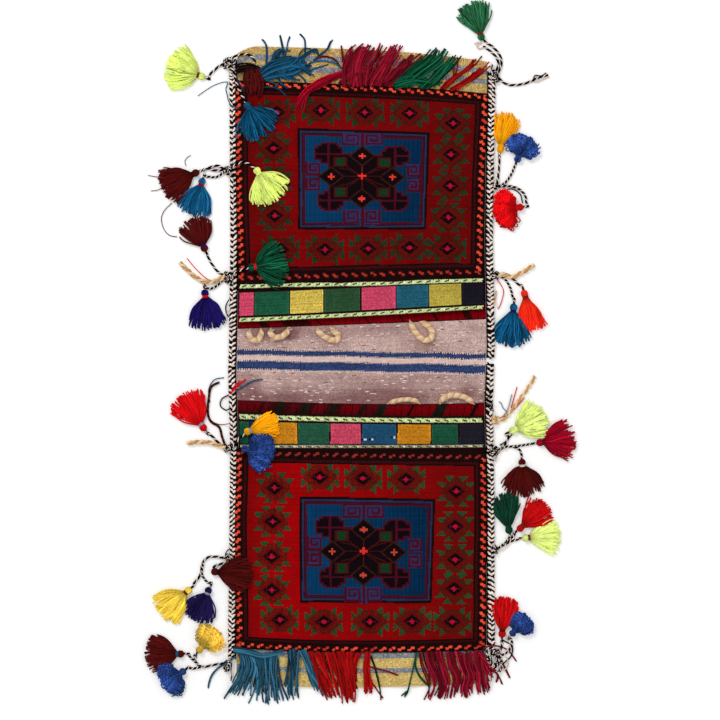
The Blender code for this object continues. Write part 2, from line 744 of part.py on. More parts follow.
def make_cords():
    """Each knot with all the cords that leave it, as one piece."""
    for name, routes in CORD_ROUTES.items():
        knot = name.rsplit("_", 1)[0]
        thing = make_knot(name, knot, "cord")
        for i, (tassel, route) in enumerate(routes.items()):
            points = cord_points(knot, tassel, route, CORD_DIAMETER)
            join_with(thing, tube_tool(f"{name}_{i}", points, CORD_DIAMETER))
    thing = make_knot("right_rope_cord", "right_rope", "tan")
    points = cord_points("right_rope", None, ROPE_ROUTE, ROPE_DIAMETER)
    join_with(thing, tube_tool("right_rope_tool", points, ROPE_DIAMETER))


def loop_cord_points(pouch):
    """One cord along the strip that goes out over the bridge and back at each loop."""
    lying = CLOTH_THICKNESS + CORD_REST + LOOP_CORD_DIAMETER / 2
    points = []
    for across_share, width_share, reach_share, lean_share in LOOP_SHARES[pouch]:
        for side_share, out_share in LOOP_FORM_SHARES:
            across = side_share * width_share + lean_share * out_share
            depth = LOOP_LINE_DEPTH - out_share * reach_share * LOOP_REACH
            x, y = place(pouch, across_share * CLOTH_HALF + across * LOOP_HALF_WIDTH, depth)
            points.append(Vector((x, y, lying)))
    return points


def make_loop_cord(pouch):
    name = f"{pouch}_closure_cord"
    add_object(name, tube_curve(name, loop_cord_points(pouch), LOOP_CORD_DIAMETER), "tan")


def fold_point(pouch, depth, height):
    """The middle of a line across the bag, where a pouch or a part of it turns."""
    return Vector((*place(pouch, 0, depth), height))


def add_axis(name, point, parent=None):
    """An empty on a joint's axis, which carries the pieces that turn there."""
    axis = bpy.data.objects.new(name, None)
    axis.location = point
    PARTS.objects.link(axis)
    if parent:
        hang_on(axis, parent)
    return axis


def hang_on(thing, axis):
    """Parents a thing to an axis and leaves its place in the world as it is."""
    thing.parent = axis
    bpy.context.view_layer.update()
    thing.matrix_parent_inverse = axis.matrix_world.inverted()


def hang_all(names, axis):
    for name in names:
        hang_on(bpy.data.objects[name], axis)


def swing_point(knot):
    point = knot_point(knot)
    return Vector((point.x, point.y, SWING_HEIGHT))


def tassel_hinge(name):
    """A place on the line about which a tassel that lies on the bag lifts."""
    knot = TASSELS[name][0]
    if name not in HEAD_HINGES:
        return swing_point(knot)
    return Vector((*from_knot(knot, *HEAD_HINGES[name]), HEAD_HINGE_HEIGHT))


def add_axes():
    """An axis for each joint, with the moving pieces parented to it."""
    for pouch, closure in (("upper", "upper_closure_cord"), ("lower", "lower_closure_cord")):
        fold = add_axis(f"{pouch}_fold", fold_point(pouch, 0, 0))
        sides = [f"{side}_{pouch}_braid" for side in ("left", "right")]
        hang_all([f"{pouch}_back", f"{pouch}_face", f"{pouch}_fringe", *sides], fold)
        near = pouch_depths(pouch)[1]
        lift = add_axis(f"{pouch}_mouth_lift", fold_point(pouch, near, BAND_BASE + BAND_THICKNESS), fold)
        hang_all([f"{pouch}_mouth_band"], lift)
        lying = CLOTH_THICKNESS + CORD_REST + LOOP_CORD_DIAMETER / 2
        flip = add_axis(f"{pouch}_loop_flip", fold_point(pouch, LOOP_LINE_DEPTH, lying), fold)
        hang_all([closure], flip)
    cords = [*CORD_ROUTES, "right_rope_cord"]
    for knot, (_, pouch, _) in KNOT_SHARES.items():
        swing = add_axis(f"{knot}_swing", swing_point(knot), bpy.data.objects[f"{pouch}_fold"])
        hang_all([cord for cord in cords if cord.rsplit("_", 1)[0] == knot], swing)
        hang_all([name for name, row in TASSELS.items() if row[0] == knot and not row[5]], swing)
    for name, row in TASSELS.items():
        if row[5]:
            fold = bpy.data.objects[f"{KNOT_SHARES[row[0]][1]}_fold"]
            hang_all([name], add_axis(f"{name}_swing", tassel_hinge(name), fold))
    pair_axis = add_axis("pair_swing", swing_point("left_lower_mouth"), bpy.data.objects["lower_fold"])
    hang_all(["tassel_pair_on_mouth"], pair_axis)


clear_scene()
PARTS = make_collection("saddle_bag")
TOOLS = make_collection("tools")
make_bridge()
for pouch_name, face_colour in (("upper", "dark_red"), ("lower", "bright_red")):
    make_back(pouch_name)
    make_braids(pouch_name)
    make_face(pouch_name, face_colour)
    make_band(pouch_name)
    make_fringe(pouch_name)
    make_loop_cord(pouch_name)
make_tassels()
make_pair()
make_cords()
add_axes()
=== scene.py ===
import json
import math

import bpy
import numpy as np
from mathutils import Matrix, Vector


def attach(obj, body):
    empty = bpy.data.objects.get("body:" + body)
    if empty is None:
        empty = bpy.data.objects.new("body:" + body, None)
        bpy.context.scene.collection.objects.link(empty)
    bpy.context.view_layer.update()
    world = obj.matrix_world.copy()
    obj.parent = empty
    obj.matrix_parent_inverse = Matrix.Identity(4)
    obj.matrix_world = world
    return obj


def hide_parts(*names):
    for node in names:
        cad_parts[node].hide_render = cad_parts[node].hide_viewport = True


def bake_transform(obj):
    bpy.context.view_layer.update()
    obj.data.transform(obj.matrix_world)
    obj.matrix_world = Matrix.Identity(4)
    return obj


# The dressed double saddle bag: woven panels, plaited edges, cords, tassels and fringes.
# X runs across the bag, Y along it and Z up, in metres. A photograph pixel is PIXEL metres.

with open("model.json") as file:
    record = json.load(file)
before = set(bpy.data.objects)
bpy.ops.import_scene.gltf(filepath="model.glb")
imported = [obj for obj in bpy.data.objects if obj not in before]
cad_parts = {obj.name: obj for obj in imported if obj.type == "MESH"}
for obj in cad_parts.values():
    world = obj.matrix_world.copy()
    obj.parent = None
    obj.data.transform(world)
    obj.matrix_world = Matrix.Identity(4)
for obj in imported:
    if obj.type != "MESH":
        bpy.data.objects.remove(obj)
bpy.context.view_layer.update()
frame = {"record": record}

# The bag's own sizes, as in the construction
BAG_WIDTH = 0.464
BRIDGE_LENGTH = 0.139
CLOTH_THICKNESS = 0.0035
GAP = 0.0003
FACE_THICKNESS = 0.0045
FACE_CROWN = 0.010
FACE_INSET = 0.0025
FACE_SIDE_ROUND = 0.045
FACE_END_ROUND = 0.070
FACE_MOUTH_RUN = 0.110
MOUTH_CROWN_SHARE = 0.60
BAND_THICKNESS = 0.0045
SUPPORT_MARGIN = 0.0012
PILE_MARGIN = 0.0005
BRAID_WIDTH = 0.014
BRAID_THICKNESS = 0.009
TASSEL_LENGTH = 0.065
TASSEL_WIDTH = 0.044
TASSEL_THICKNESS = 0.012
TASSEL_LIFT = 0.0003
CORD_DIAMETER = 0.0035
ROPE_DIAMETER = 0.006
CORD_APPROACH_DIAMETERS = 2.0
CORD_REST = 0.0004
KNOT_RADIUS = 0.0045
KNOT_HEIGHT = 0.0051
PIXEL = 0.00175
CLOTH_BEND = 0.024

# Yarns' radii, and the pitches of knots, rows and stitches, as the photograph shows them
TASSEL_YARN = 0.00126
CRIMPED_YARN = 0.00112
TIE_YARN = 0.0008
FRINGE_YARN = 0.00085
TUFT_YARN = 0.0009
HEAD_RADIUS = 0.0056
PILE_KNOT = 0.0015
CLOTH_ROW = 0.0017
HIDDEN_ROW = 0.006
CLOTH_COLUMNS = 250
STITCH_PITCH = 0.0043
STITCH_RADIUS = 0.00188
TWINE_PITCH = 0.0018

HALF_WIDTH = BAG_WIDTH / 2
CLOTH_HALF = HALF_WIDTH - BRAID_WIDTH - GAP
FACE_BASE = CLOTH_THICKNESS + GAP
BAND_BASE = FACE_BASE + FACE_CROWN * MOUTH_CROWN_SHARE
KNOT_X = HALF_WIDTH + GAP + KNOT_RADIUS

# Where the photograph's frame lies over the bag
MIDDLE_PX = 361.5
MIDDLE_PY = 365.0
FRAME_PIXELS = 720

POUCHES = {
    "upper": {"sign": 1, "fold_rise": 0.020, "end_rise": -0.012, "strip": 0.0125, "band": 0.0575,
              "face": 0.3355, "flap": 0.060},
    "lower": {"sign": -1, "fold_rise": 0.0026, "end_rise": 0.0, "strip": 0.0135, "band": 0.063,
              "face": 0.3595, "flap": 0.0605},
}

KNOT_SHARES = {
    "left_corner": (-1, "upper", 0.972),
    "left_upper": (-1, "upper", 0.582),
    "left_mouth": (-1, "upper", 0.200),
    "left_lower_mouth": (-1, "lower", 0.151),
    "left_lower": (-1, "lower", 0.540),
    "left_foot": (-1, "lower", 0.909),
    "right_corner": (1, "upper", 0.946),
    "right_upper": (1, "upper", 0.516),
    "right_mouth": (1, "upper", 0.173),
    "right_rope": (1, "lower", 0.056),
    "right_lower_mouth": (1, "lower", 0.165),
    "right_lower": (1, "lower", 0.510),
    "right_foot": (1, "lower", 0.889),
}

# Each tassel: its knot, its head from the knot (out, up) in pixels, the way that it points in
# degrees from straight out, its length and width shares, its yarn and the yarn of its tie
TASSELS = {
    "lime_tassel_left_corner": ("left_corner", (21.5, -14), 19, 1.02, 1.38, "lime", "rust"),
    "teal_tassel_on_face": ("left_corner", (-20, -40), -121, 0.98, 1.20, "teal", "teal"),
    "maroon_tassel_left_upper": ("left_upper", (27.5, -1), -25, 1.02, 1.05, "maroon", "dark"),
    "blue_tassel_left_upper": ("left_upper", (23, -8), -73, 0.96, 1.00, "azure", "crimson"),
    "lime_tassel_on_face": ("left_upper", (-29.5, 2), -123.7, 0.97, 1.15, "lime", "lime"),
    "maroon_tassel_left_mouth": ("left_mouth", (20.5, 25), 66, 0.88, 0.98, "maroon", "indigo"),
    "green_tassel_on_face": ("left_mouth", (-23, 8), 172, 1.00, 1.30, "green", "red"),
    "indigo_tassel_left_mouth": ("left_mouth", (21.5, -14), -96, 1.00, 1.12, "indigo", "red"),
    "red_tassel_left_lower_mouth": ("left_lower_mouth", (21, 18), 57, 1.06, 1.12, "red", "pale"),
    "maroon_tassel_across_braid": ("left_lower", (14.5, -13), -174, 1.02, 0.98, "maroon", "dark"),
    "yellow_tassel_left_lower": ("left_lower", (35.5, -30), -41, 1.00, 1.10, "yellow", "rust"),
    "indigo_tassel_left_lower": ("left_lower", (16.5, -29.5), -68, 0.90, 1.00, "night", "pale"),
    "yellow_tassel_left_foot": ("left_foot", (28.5, 11), 130, 0.84, 0.80, "straw", "straw"),
    "maroon_tassel_left_foot": ("left_foot", (42.5, 9), 0, 0.96, 1.12, "maroon", "azure"),
    "blue_tassel_left_foot": ("left_foot", (41, -7), -35, 0.80, 1.05, "frizzy", "frizzy"),
    "green_tassel_right_corner": ("right_corner", (-15, 36.5), 106, 0.98, 1.00, "emerald", "rust"),
    "orange_tassel_right_upper": ("right_upper", (3, 34.5), 80, 1.00, 0.82, "orange", "orange"),
    "blue_tassel_right_upper": ("right_upper", (19.5, 25), 69, 0.80, 1.00, "frizzy", "frizzy"),
    "red_tassel_right_upper": ("right_upper", (26, -20), -172, 0.86, 1.20, "red", "red"),
    "blue_tassel_right_mouth": ("right_mouth", (17, -29), -95.5, 1.06, 1.08, "azure", "indigo"),
    "orange_tassel_right_mouth": ("right_mouth", (26.6, -15.4), -74.5, 1.04, 0.80, "vermilion", "rust"),
    "lime_tassel_right_lower_mouth": ("right_lower_mouth", (13, 19), 26, 1.00, 1.20, "lemon", "lemon"),
    "crimson_tassel_right_lower_mouth": ("right_lower_mouth", (40, 8), 8, 0.97, 1.25, "crimson", "maroon"),
    "maroon_tassel_right_lower_mouth": ("right_lower_mouth", (25, -8.5), -86, 0.93, 1.32, "maroon",
                                        "cream"),
    "green_tassel_right_lower": ("right_lower", (12.5, 16), 99, 1.00, 0.88, "pine", "pine"),
    "red_tassel_right_lower": ("right_lower", (21, 19), 41, 0.96, 0.90, "scarlet", "rust"),
    "lime_tassel_right_lower": ("right_lower", (26, 11), 5, 0.94, 1.02, "lemon", "rust"),
    "red_tassel_right_foot": ("right_foot", (5, 20), 86, 1.00, 0.70, "scarlet", "maroon"),
    "blue_tassel_right_foot": ("right_foot", (14, 22), 50, 0.72, 0.80, "frizzy", "frizzy"),
    "orange_tassel_on_mouth": ("left_lower_mouth", (-19, 16), 163, 0.88, 0.54, "orange", "pale"),
    "blue_tassel_on_mouth": ("left_lower_mouth", (-16, 0), -172, 0.94, 1.20, "frizzy", "frizzy"),
}
# The tassels that lie on the bag, and those of crimped yarn
ON_THE_BAG = (
    "teal_tassel_on_face", "lime_tassel_on_face", "green_tassel_on_face", "maroon_tassel_across_braid",
    "orange_tassel_on_mouth", "blue_tassel_on_mouth",
)
CRIMPED = (
    "yellow_tassel_left_foot", "blue_tassel_left_foot", "blue_tassel_right_upper",
    "red_tassel_right_upper", "blue_tassel_right_foot", "blue_tassel_on_mouth",
)

TASSEL_STATION_SHARES = (
    (0.00, 0.06, 0.30),
    (0.07, 0.11, 0.62),
    (0.15, 0.12, 0.68),
    (0.22, 0.10, 0.58),
    (0.36, 0.25, 0.80),
    (0.70, 0.42, 1.00),
    (0.94, 0.50, 0.98),
    (1.00, 0.44, 0.70),
)

CORD_ROUTES = {
    "left_corner_cord": {
        "lime_tassel_left_corner": ((0, 0), (6, -2), (12, -7), (17, -12)),
    },
    "left_upper_cord": {
        "maroon_tassel_left_upper": ((0, 0), (8, 5), (17, 3), (22.5, 0)),
        "blue_tassel_left_upper": ((0, 0), (9, -6), (17, -6), (22, -5)),
    },
    "left_mouth_cord": {
        "maroon_tassel_left_mouth": ((0, 0), (8, 4), (15, 13), (19, 21)),
        "indigo_tassel_left_mouth": ((0, 0), (7, -8), (14, -12.5), (19.5, -12)),
        None: ((0, 0), (10, -5), (21, -6), (31, -1), (39, 6), (46, 13)),
    },
    "left_lower_mouth_cord": {
        "red_tassel_left_lower_mouth": ((0, 0), (6, 4), (13, 11), (18.5, 15.5)),
        None: ((0, 0), (8, 3), (17, 5.5), (27, 6), (39, 5)),
        "loop": ((0, 0), (4, 11), (7, 21), (15, 26.5), (18.3, 35), (17.5, 49), (15, 61), (7, 66)),
    },
    "left_lower_cord": {
        "yellow_tassel_left_lower": ((0, 0), (9, 1.5), (18, 1), (23.5, -5), (26, -17), (33, -26)),
        "indigo_tassel_left_lower": ((23.2, -4.6), (24, -16), (18.5, -24)),
    },
    "left_foot_cord": {
        "yellow_tassel_left_foot": ((0, 0), (12, -2), (24, -4), (31, 2), (30, 8)),
        "maroon_tassel_left_foot": ((28.5, -0.9), (33, 3), (37, 7)),
        "blue_tassel_left_foot": ((23.8, -3.7), (31, -5.5), (36, -5.5)),
    },
    "right_corner_tail": {
        None: ((0, 0), (9, -7.4), (19.5, -8.5), (31, -6), (42, -1), (51, 1.5)),
    },
    "right_upper_cord": {
        "orange_tassel_right_upper": ((0, 0), (1.6, 14), (2.4, 26), (2.6, 31)),
        "blue_tassel_right_upper": ((0, 0), (8, 4), (14, 12), (17.5, 20)),
        "red_tassel_right_upper": ((0, 0), (11, 1), (21, -1.5), (28, -8), (29.5, -16)),
    },
    "right_mouth_cord": {
        "orange_tassel_right_mouth": ((0, 0), (8, 1.5), (16, -4), (22.5, -10)),
        "blue_tassel_right_mouth": ((0, 0), (8, -4), (13.5, -13), (16, -23)),
        None: ((0, 0), (8, 0), (15, -2), (22, 1), (29, 5), (37, 10)),
    },
    "right_lower_mouth_cord": {
        "lime_tassel_right_lower_mouth": ((0, 0), (6, 4), (10, 10), (11.5, 15)),
        "crimson_tassel_right_lower_mouth": ((0, 0), (8, 4), (16, 4.5), (28, 6), (36, 7.5)),
        "maroon_tassel_right_lower_mouth": ((16.2, 4.3), (22, 2), (24.5, -3)),
    },
    "right_lower_cord": {
        "green_tassel_right_lower": ((0, 0), (6, 4), (10, 8), (12, 12)),
        "red_tassel_right_lower": ((0, 0), (8, 6), (14, 11), (18, 15)),
        "lime_tassel_right_lower": ((0, 0), (8, 5), (16, 8.5), (22, 10)),
    },
    "right_foot_cord": {
        "red_tassel_right_foot": ((0, 0), (3, 6), (5, 12), (5, 17)),
        "blue_tassel_right_foot": ((0, 0), (9, 4), (15, 11), (14, 18)),
    },
    "right_rope_cord": {
        None: ((0, 0), (8, 1.5), (14.5, 10), (24, 22.5), (31, 32), (38, 43.5)),
    },
}

OWN_CORD_ROUTES = {
    "teal_tassel_on_face": ((-2, -0.5), (-5.5, -4), (-8, -10), (-12, -24), (-17, -34)),
    "lime_tassel_on_face": ((-2, 0), (-6, 3), (-11, 6.5), (-18, 8), (-25, 5)),
    "green_tassel_on_face": ((-2, 0.3), (-6, 2), (-11, 4), (-17, 6.5)),
    "maroon_tassel_across_braid": ((-4, -4.4), (3, -5), (8, -6.5), (12.5, -9)),
    "green_tassel_right_corner": ((0.86, 2.8), (4.5, 12), (3, 21), (-4, 29.5), (-11.5, 34.5)),
    "orange_tassel_on_mouth": ((-2, 0), (-6, 1), (-10, 6), (-15, 11.5)),
    "blue_tassel_on_mouth": ((-5.2, 0.7), (-11, 2)),
}


def srgb(red, green, blue):
    """A colour as it is seen, from 0 to 255, as the linear values that shaders take."""
    values = np.array((red, green, blue), float) / 255
    low, high = values / 12.92, ((values + 0.055) / 1.055) ** 2.4
    return tuple(np.where(values <= 0.04045, low, high))


YARN = {
    "lime": srgb(238, 254, 136),
    "teal": srgb(12, 84, 120),
    "azure": srgb(16, 88, 130),
    "sea": srgb(24, 80, 110),
    "mist": srgb(44, 92, 116),
    "maroon": srgb(86, 15, 13),
    "green": srgb(14, 80, 54),
    "emerald": srgb(44, 108, 70),
    "pine": srgb(16, 62, 44),
    "indigo": srgb(30, 20, 98),
    "night": srgb(34, 24, 78),
    "red": srgb(228, 14, 20),
    "scarlet": srgb(204, 14, 17),
    "brick": srgb(166, 12, 12),
    "orange": srgb(252, 176, 14),
    "vermilion": srgb(255, 50, 26),
    "yellow": srgb(255, 224, 84),
    "straw": srgb(240, 200, 76),
    "lemon": srgb(240, 255, 150),
    "crimson": srgb(168, 8, 38),
    "wine": srgb(134, 16, 38),
    "frizzy": srgb(44, 72, 138),
    "rust": srgb(122, 40, 20),
    "pale": srgb(150, 150, 170),
    "cream": srgb(228, 210, 190),
    "dark": srgb(32, 16, 16),
    "black": srgb(24, 11, 9),
    "tan": srgb(232, 190, 146),
    "white": srgb(253, 238, 228),
}
# How much the strands of a yarn differ in brightness
CONTRAST = {
    "lime": 0.13, "lemon": 0.12, "straw": 0.26, "yellow": 0.20, "orange": 0.16, "red": 0.16,
    "vermilion": 0.16, "scarlet": 0.18, "crimson": 0.18,
    "maroon": 0.22, "indigo": 0.25, "night": 0.30, "brick": 0.26,
}


def strand_shades(random, yarn, count):
    """A yarn's colour for each strand, some lighter and some darker."""
    shade = np.exp(random.normal(0, CONTRAST.get(yarn, 0.48), (count, 1)))
    return np.array(YARN[yarn]) * np.clip(shade, 0.3, 2.4)


# Places on the bag

def pouch_depths(pouch):
    """How far the mouth's edge, the face's two ends and the flap's end lie from the fold line."""
    size = POUCHES[pouch]
    near = size["strip"] + size["band"]
    far = near + size["face"]
    return size["strip"], near, far, far + size["flap"]


def rise_slope(pouch):
    size = POUCHES[pouch]
    return (size["end_rise"] - size["fold_rise"]) / pouch_depths(pouch)[3]


def place(pouch, across, depth):
    """The point at a distance from the centre line and from the fold line."""
    size = POUCHES[pouch]
    y = size["sign"] * (BRIDGE_LENGTH / 2 + depth)
    return across, y + (size["fold_rise"] + rise_slope(pouch) * depth) * across / BAG_WIDTH


def depth_of(pouch, x, y):
    size = POUCHES[pouch]
    level = y - size["fold_rise"] * x / BAG_WIDTH - size["sign"] * BRIDGE_LENGTH / 2
    return level / (size["sign"] + rise_slope(pouch) * x / BAG_WIDTH)


def pixel_x(x):
    return MIDDLE_PX + x / PIXEL


def pixel_y(y):
    return MIDDLE_PY - y / PIXEL


def at_pixel(px, py):
    return (px - MIDDLE_PX) * PIXEL, (MIDDLE_PY - py) * PIXEL


# Where the lines of each pouch lie in the photograph, from its fold line out: (x, y) pixels
LINES = {
    "upper": (
        ((235, 328), (300, 325.5), (362, 323.2), (484, 318.3)),
        ((235, 322.6), (300, 319.8), (362, 316.6), (484, 309.2)),
        ((235, 290.8), (300, 289.0), (362, 285.2), (430, 283.2), (484, 281.3)),
        ((235, 80.3), (265, 81.3), (343, 84.6), (400, 86.8), (440, 90.0), (489, 94.4)),
        ((235, 46.5), (262, 46.3), (300, 47), (365, 51.3), (400, 52), (452, 56), (489, 63)),
    ),
    "lower": (
        ((235, 401), (300, 403.4), (362, 404.9), (430, 404.8), (484, 403.8)),
        ((235, 411), (300, 413.2), (362, 415), (430, 415.6), (484, 415.5)),
        ((235, 447.5), (300, 447.6), (362, 447.6), (484, 447)),
        ((235, 647), (262, 649.8), (300, 650.8), (345, 652.6), (400, 652.2), (450, 651.2), (489, 649.6)),
        ((235, 683), (300, 686.5), (400, 686.5), (489, 683)),
    ),
}
CURVES = {pouch: [np.polyfit(*np.array(line).T, 3) for line in lines] for pouch, lines in LINES.items()}
# How far the two sides stray from straight, in pixels, by the height in the photograph
LEFT_DRIFT = ((40, 0.3), (140, 1.0), (240, 1.7), (335, 0.4), (375, -0.6), (445, 1.6), (565, 0.4),
              (640, -0.6), (700, -0.6))
RIGHT_DRIFT = ((40, 1.0), (90, 1.0), (165, -0.4), (240, -1.5), (345, 0.6), (400, -1.6), (495, 0),
               (640, 0.5), (700, 0.5))


def line_heights(pouch, px):
    """How high each line of a pouch lies in the photograph at a place across it."""
    lines = [np.polyval(curve, px) for curve in CURVES[pouch]]
    if pouch == "upper":
        lines[4] = lines[4] + 10 * np.clip((258 - px) / 24, 0, 1.3) ** 2
    return lines


def line_depths(pouch):
    return (0.0, *pouch_depths(pouch))


def drift(px, py):
    left = np.interp(py, *np.array(LEFT_DRIFT).T)
    right = np.interp(py, *np.array(RIGHT_DRIFT).T)
    share = (px - 229) / 265
    return left * (1 - share) + right * share


def drawn(pouch, across, depth):
    """The point that a place of the cloth has in the photograph, in metres."""
    px = pixel_x(across)
    lines, depths = line_heights(pouch, px), line_depths(pouch)
    down = -POUCHES[pouch]["sign"]
    py = lines[0] + down * np.minimum(depth, 0) / PIXEL
    for k in range(4):
        share = np.clip((depth - depths[k]) / (depths[k + 1] - depths[k]), 0, 1)
        py = py + share * (lines[k + 1] - lines[k])
    py = py + down * np.maximum(depth - depths[4], 0) / PIXEL
    return at_pixel(px + drift(px, py), py)


def drawn_depth(pouch, x, y):
    """The depth from the fold line of a point on the drawn cloth."""
    py = pixel_y(y)
    lines, depths = line_heights(pouch, pixel_x(x)), line_depths(pouch)
    down = -POUCHES[pouch]["sign"]
    depth = np.minimum(down * (py - lines[0]), 0) * PIXEL
    for k in range(4):
        share = np.clip((py - lines[k]) / (lines[k + 1] - lines[k]), 0, 1)
        depth = depth + share * (depths[k + 1] - depths[k])
    return depth + np.maximum(down * (py - lines[4]), 0) * PIXEL


def rounded(distance, run):
    return 1 - (1 - np.clip(distance / run, 0, 1)) ** 2


def crown_at(pouch, across, depth):
    """The height of the pouch's inner space at a place."""
    _, near, far, _ = pouch_depths(pouch)
    side = rounded(CLOTH_HALF - FACE_INSET - np.abs(across), FACE_SIDE_ROUND)
    end = rounded(far - depth, FACE_END_ROUND)
    mouth = MOUTH_CROWN_SHARE + (1 - MOUTH_CROWN_SHARE) * rounded(depth - near, FACE_MOUTH_RUN)
    return FACE_CROWN * side * np.minimum(end, mouth)


def bag_heights(x, y, depth_at, margin, past_end):
    """The height of the bag's upper side at places, or 0 beside it."""
    x, y = np.asarray(x, float), np.asarray(y, float)
    height = np.zeros(np.broadcast(x, y).shape)
    for pouch in POUCHES:
        mouth, near, far, end = pouch_depths(pouch)
        depth = depth_at(pouch, x, y)
        ours = (y > 0) == (pouch == "upper")
        face = FACE_BASE + FACE_THICKNESS + crown_at(pouch, x, depth) + margin
        height = np.where(ours & (depth <= end), CLOTH_THICKNESS, height)
        height = np.where(ours & (depth >= near) & (depth <= far), face, height)
        height = np.where(ours & (depth >= mouth) & (depth < near), BAND_BASE + BAND_THICKNESS, height)
        plait = ours & (np.abs(x) > CLOTH_HALF) & ((depth <= end) | past_end)
        height = np.where(plait, BRAID_THICKNESS, height)
    return np.where(np.abs(x) > HALF_WIDTH, 0.0, height)


def support_heights(x, y):
    """The height of the construction's upper side, whose side plaits run on past the flaps."""
    return bag_heights(x, y, depth_of, SUPPORT_MARGIN, True)


def surface_heights(x, y):
    """The height of the cloth as it is drawn, with its plaited sides."""
    return bag_heights(x, y, drawn_depth, PILE_MARGIN, False)


def ground_under(x, y):
    """The drawn cloth's height under strands (strand, point), smoothed along each."""
    ground = np.maximum(surface_heights(x, y), 0)
    padded = np.pad(ground, ((0, 0), (1, 1)), mode="edge")
    high = np.maximum(np.maximum(padded[:, :-2], padded[:, 2:]), ground)
    padded = np.pad(high, ((0, 0), (1, 1)), mode="edge")
    return (padded[:, :-2] + 2 * high + padded[:, 2:]) / 4


def support_near(x, y, reach):
    turns = np.arange(8) * math.pi / 4
    xs = np.append(x + reach * np.cos(turns), x)
    ys = np.append(y + reach * np.sin(turns), y)
    return float(support_heights(xs, ys).max())


def knot_point(knot):
    side, pouch, share = KNOT_SHARES[knot]
    _, y = place(pouch, side * HALF_WIDTH, share * pouch_depths(pouch)[3])
    return np.array((side * KNOT_X, y, KNOT_HEIGHT))


def from_knot(knot, out, up):
    side = KNOT_SHARES[knot][0]
    start = knot_point(knot)
    return start[0] + side * out * PIXEL, start[1] + up * PIXEL


def tassel_frame(name):
    """A tassel's tip, the way that it points and its length, in plan."""
    knot, head, degrees, length_share = TASSELS[name][:4]
    angle = math.radians(degrees)
    way = np.array((KNOT_SHARES[knot][0] * math.cos(angle), math.sin(angle)))
    return np.array(from_knot(knot, *head)), way, TASSEL_LENGTH * length_share


def tip_height(name):
    """How high the tip of a tassel's head lies."""
    tip, way, length = tassel_frame(name)
    bases = []
    for along_share, width_share, thick_share in TASSEL_STATION_SHARES[:2]:
        thick = TASSEL_THICKNESS * thick_share / 2
        if name not in ON_THE_BAG:
            bases.append(0.0)
            continue
        centre = tip + way * length * along_share
        half = TASSEL_WIDTH * TASSELS[name][4] * width_share
        spots = [centre + np.array((-way[1], way[0])) * half * k / 4 for k in range(-4, 5)]
        bases.append(max(support_near(*spot, thick) for spot in spots))
    return max(bases) + TASSEL_LIFT + TASSEL_THICKNESS * TASSEL_STATION_SHARES[0][2] / 2


def smooth_route(points, step):
    """Points about a step apart on a smooth curve through the route's points."""
    points = np.array(points, float)
    padded = np.vstack([2 * points[0] - points[1], points, 2 * points[-1] - points[-2]])
    fine = []
    for i in range(1, len(padded) - 2):
        p0, p1, p2, p3 = padded[i - 1 : i + 3]
        count = max(1, round(float(np.linalg.norm(p2 - p1)) / step))
        for k in range(count):
            t = k / count
            fine.append(0.5 * (2 * p1 + (p2 - p0) * t + (2 * p0 - 5 * p1 + 4 * p2 - p3) * t * t
                               + (3 * p1 - p0 - 3 * p2 + p3) * t * t * t))
    fine.append(points[-1])
    return np.array(fine)


def body_of(node):
    """The body that a node of the frame belongs to."""
    for body, members in frame["record"]["behaviour"]["bodies"].items():
        if node in members:
            return body
    raise ValueError(node)


# Meshes

class Piece:
    """Points, faces and colours gathered into one mesh."""

    def __init__(self):
        self.points, self.faces, self.tints, self.count = [], [], [], 0

    def add(self, points, faces, tints):
        """Faces are arrays of one face size each. Tints go with them, a colour for each corner."""
        for group, tint in zip(faces, tints):
            self.faces.append(group + self.count)
            self.tints.append(np.broadcast_to(tint, (*group.shape, 3)))
        self.points.append(points)
        self.count += len(points)

    def build(self, name, material):
        points = np.concatenate(self.points)
        corners = np.concatenate([group.ravel() for group in self.faces])
        sizes = np.concatenate([np.full(len(group), group.shape[1]) for group in self.faces])
        tints = np.concatenate([tint.reshape(-1, 3) for tint in self.tints])
        mesh = bpy.data.meshes.new(name)
        mesh.vertices.add(len(points))
        mesh.vertices.foreach_set("co", points.astype(np.float32).ravel())
        mesh.loops.add(len(corners))
        mesh.loops.foreach_set("vertex_index", corners.astype(np.int32))
        mesh.polygons.add(len(sizes))
        starts = np.concatenate([[0], np.cumsum(sizes)[:-1]])
        mesh.polygons.foreach_set("loop_start", starts.astype(np.int32))
        mesh.polygons.foreach_set("loop_total", sizes.astype(np.int32))
        mesh.polygons.foreach_set("use_smooth", np.full(len(sizes), True))
        mesh.update(calc_edges=True)
        layer = mesh.color_attributes.new("tint", "FLOAT_COLOR", "CORNER")
        rgba = np.concatenate([tints, np.ones((len(tints), 1))], axis=1)
        layer.data.foreach_set("color", rgba.astype(np.float32).ravel())
        mesh.materials.append(material)
        made = bpy.data.objects.new(name, mesh)
        bpy.context.scene.collection.objects.link(made)
        return made


def dress(made, body=None, node=None):
    """What a piece rides and the node that it stands for, where it has them."""
    if body:
        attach(made, body)
    if node:
        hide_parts(node)
    return made


def unit(vectors):
    return vectors / np.maximum(np.linalg.norm(vectors, axis=-1, keepdims=True), 1e-12)


def tube_frames(paths):
    """The tangents of paths and two directions square to them."""
    tangent = unit(np.gradient(paths, axis=-2))
    side = unit(np.cross(tangent, np.array((0.03, 0.05, 1.0))))
    return tangent, side, np.cross(side, tangent)


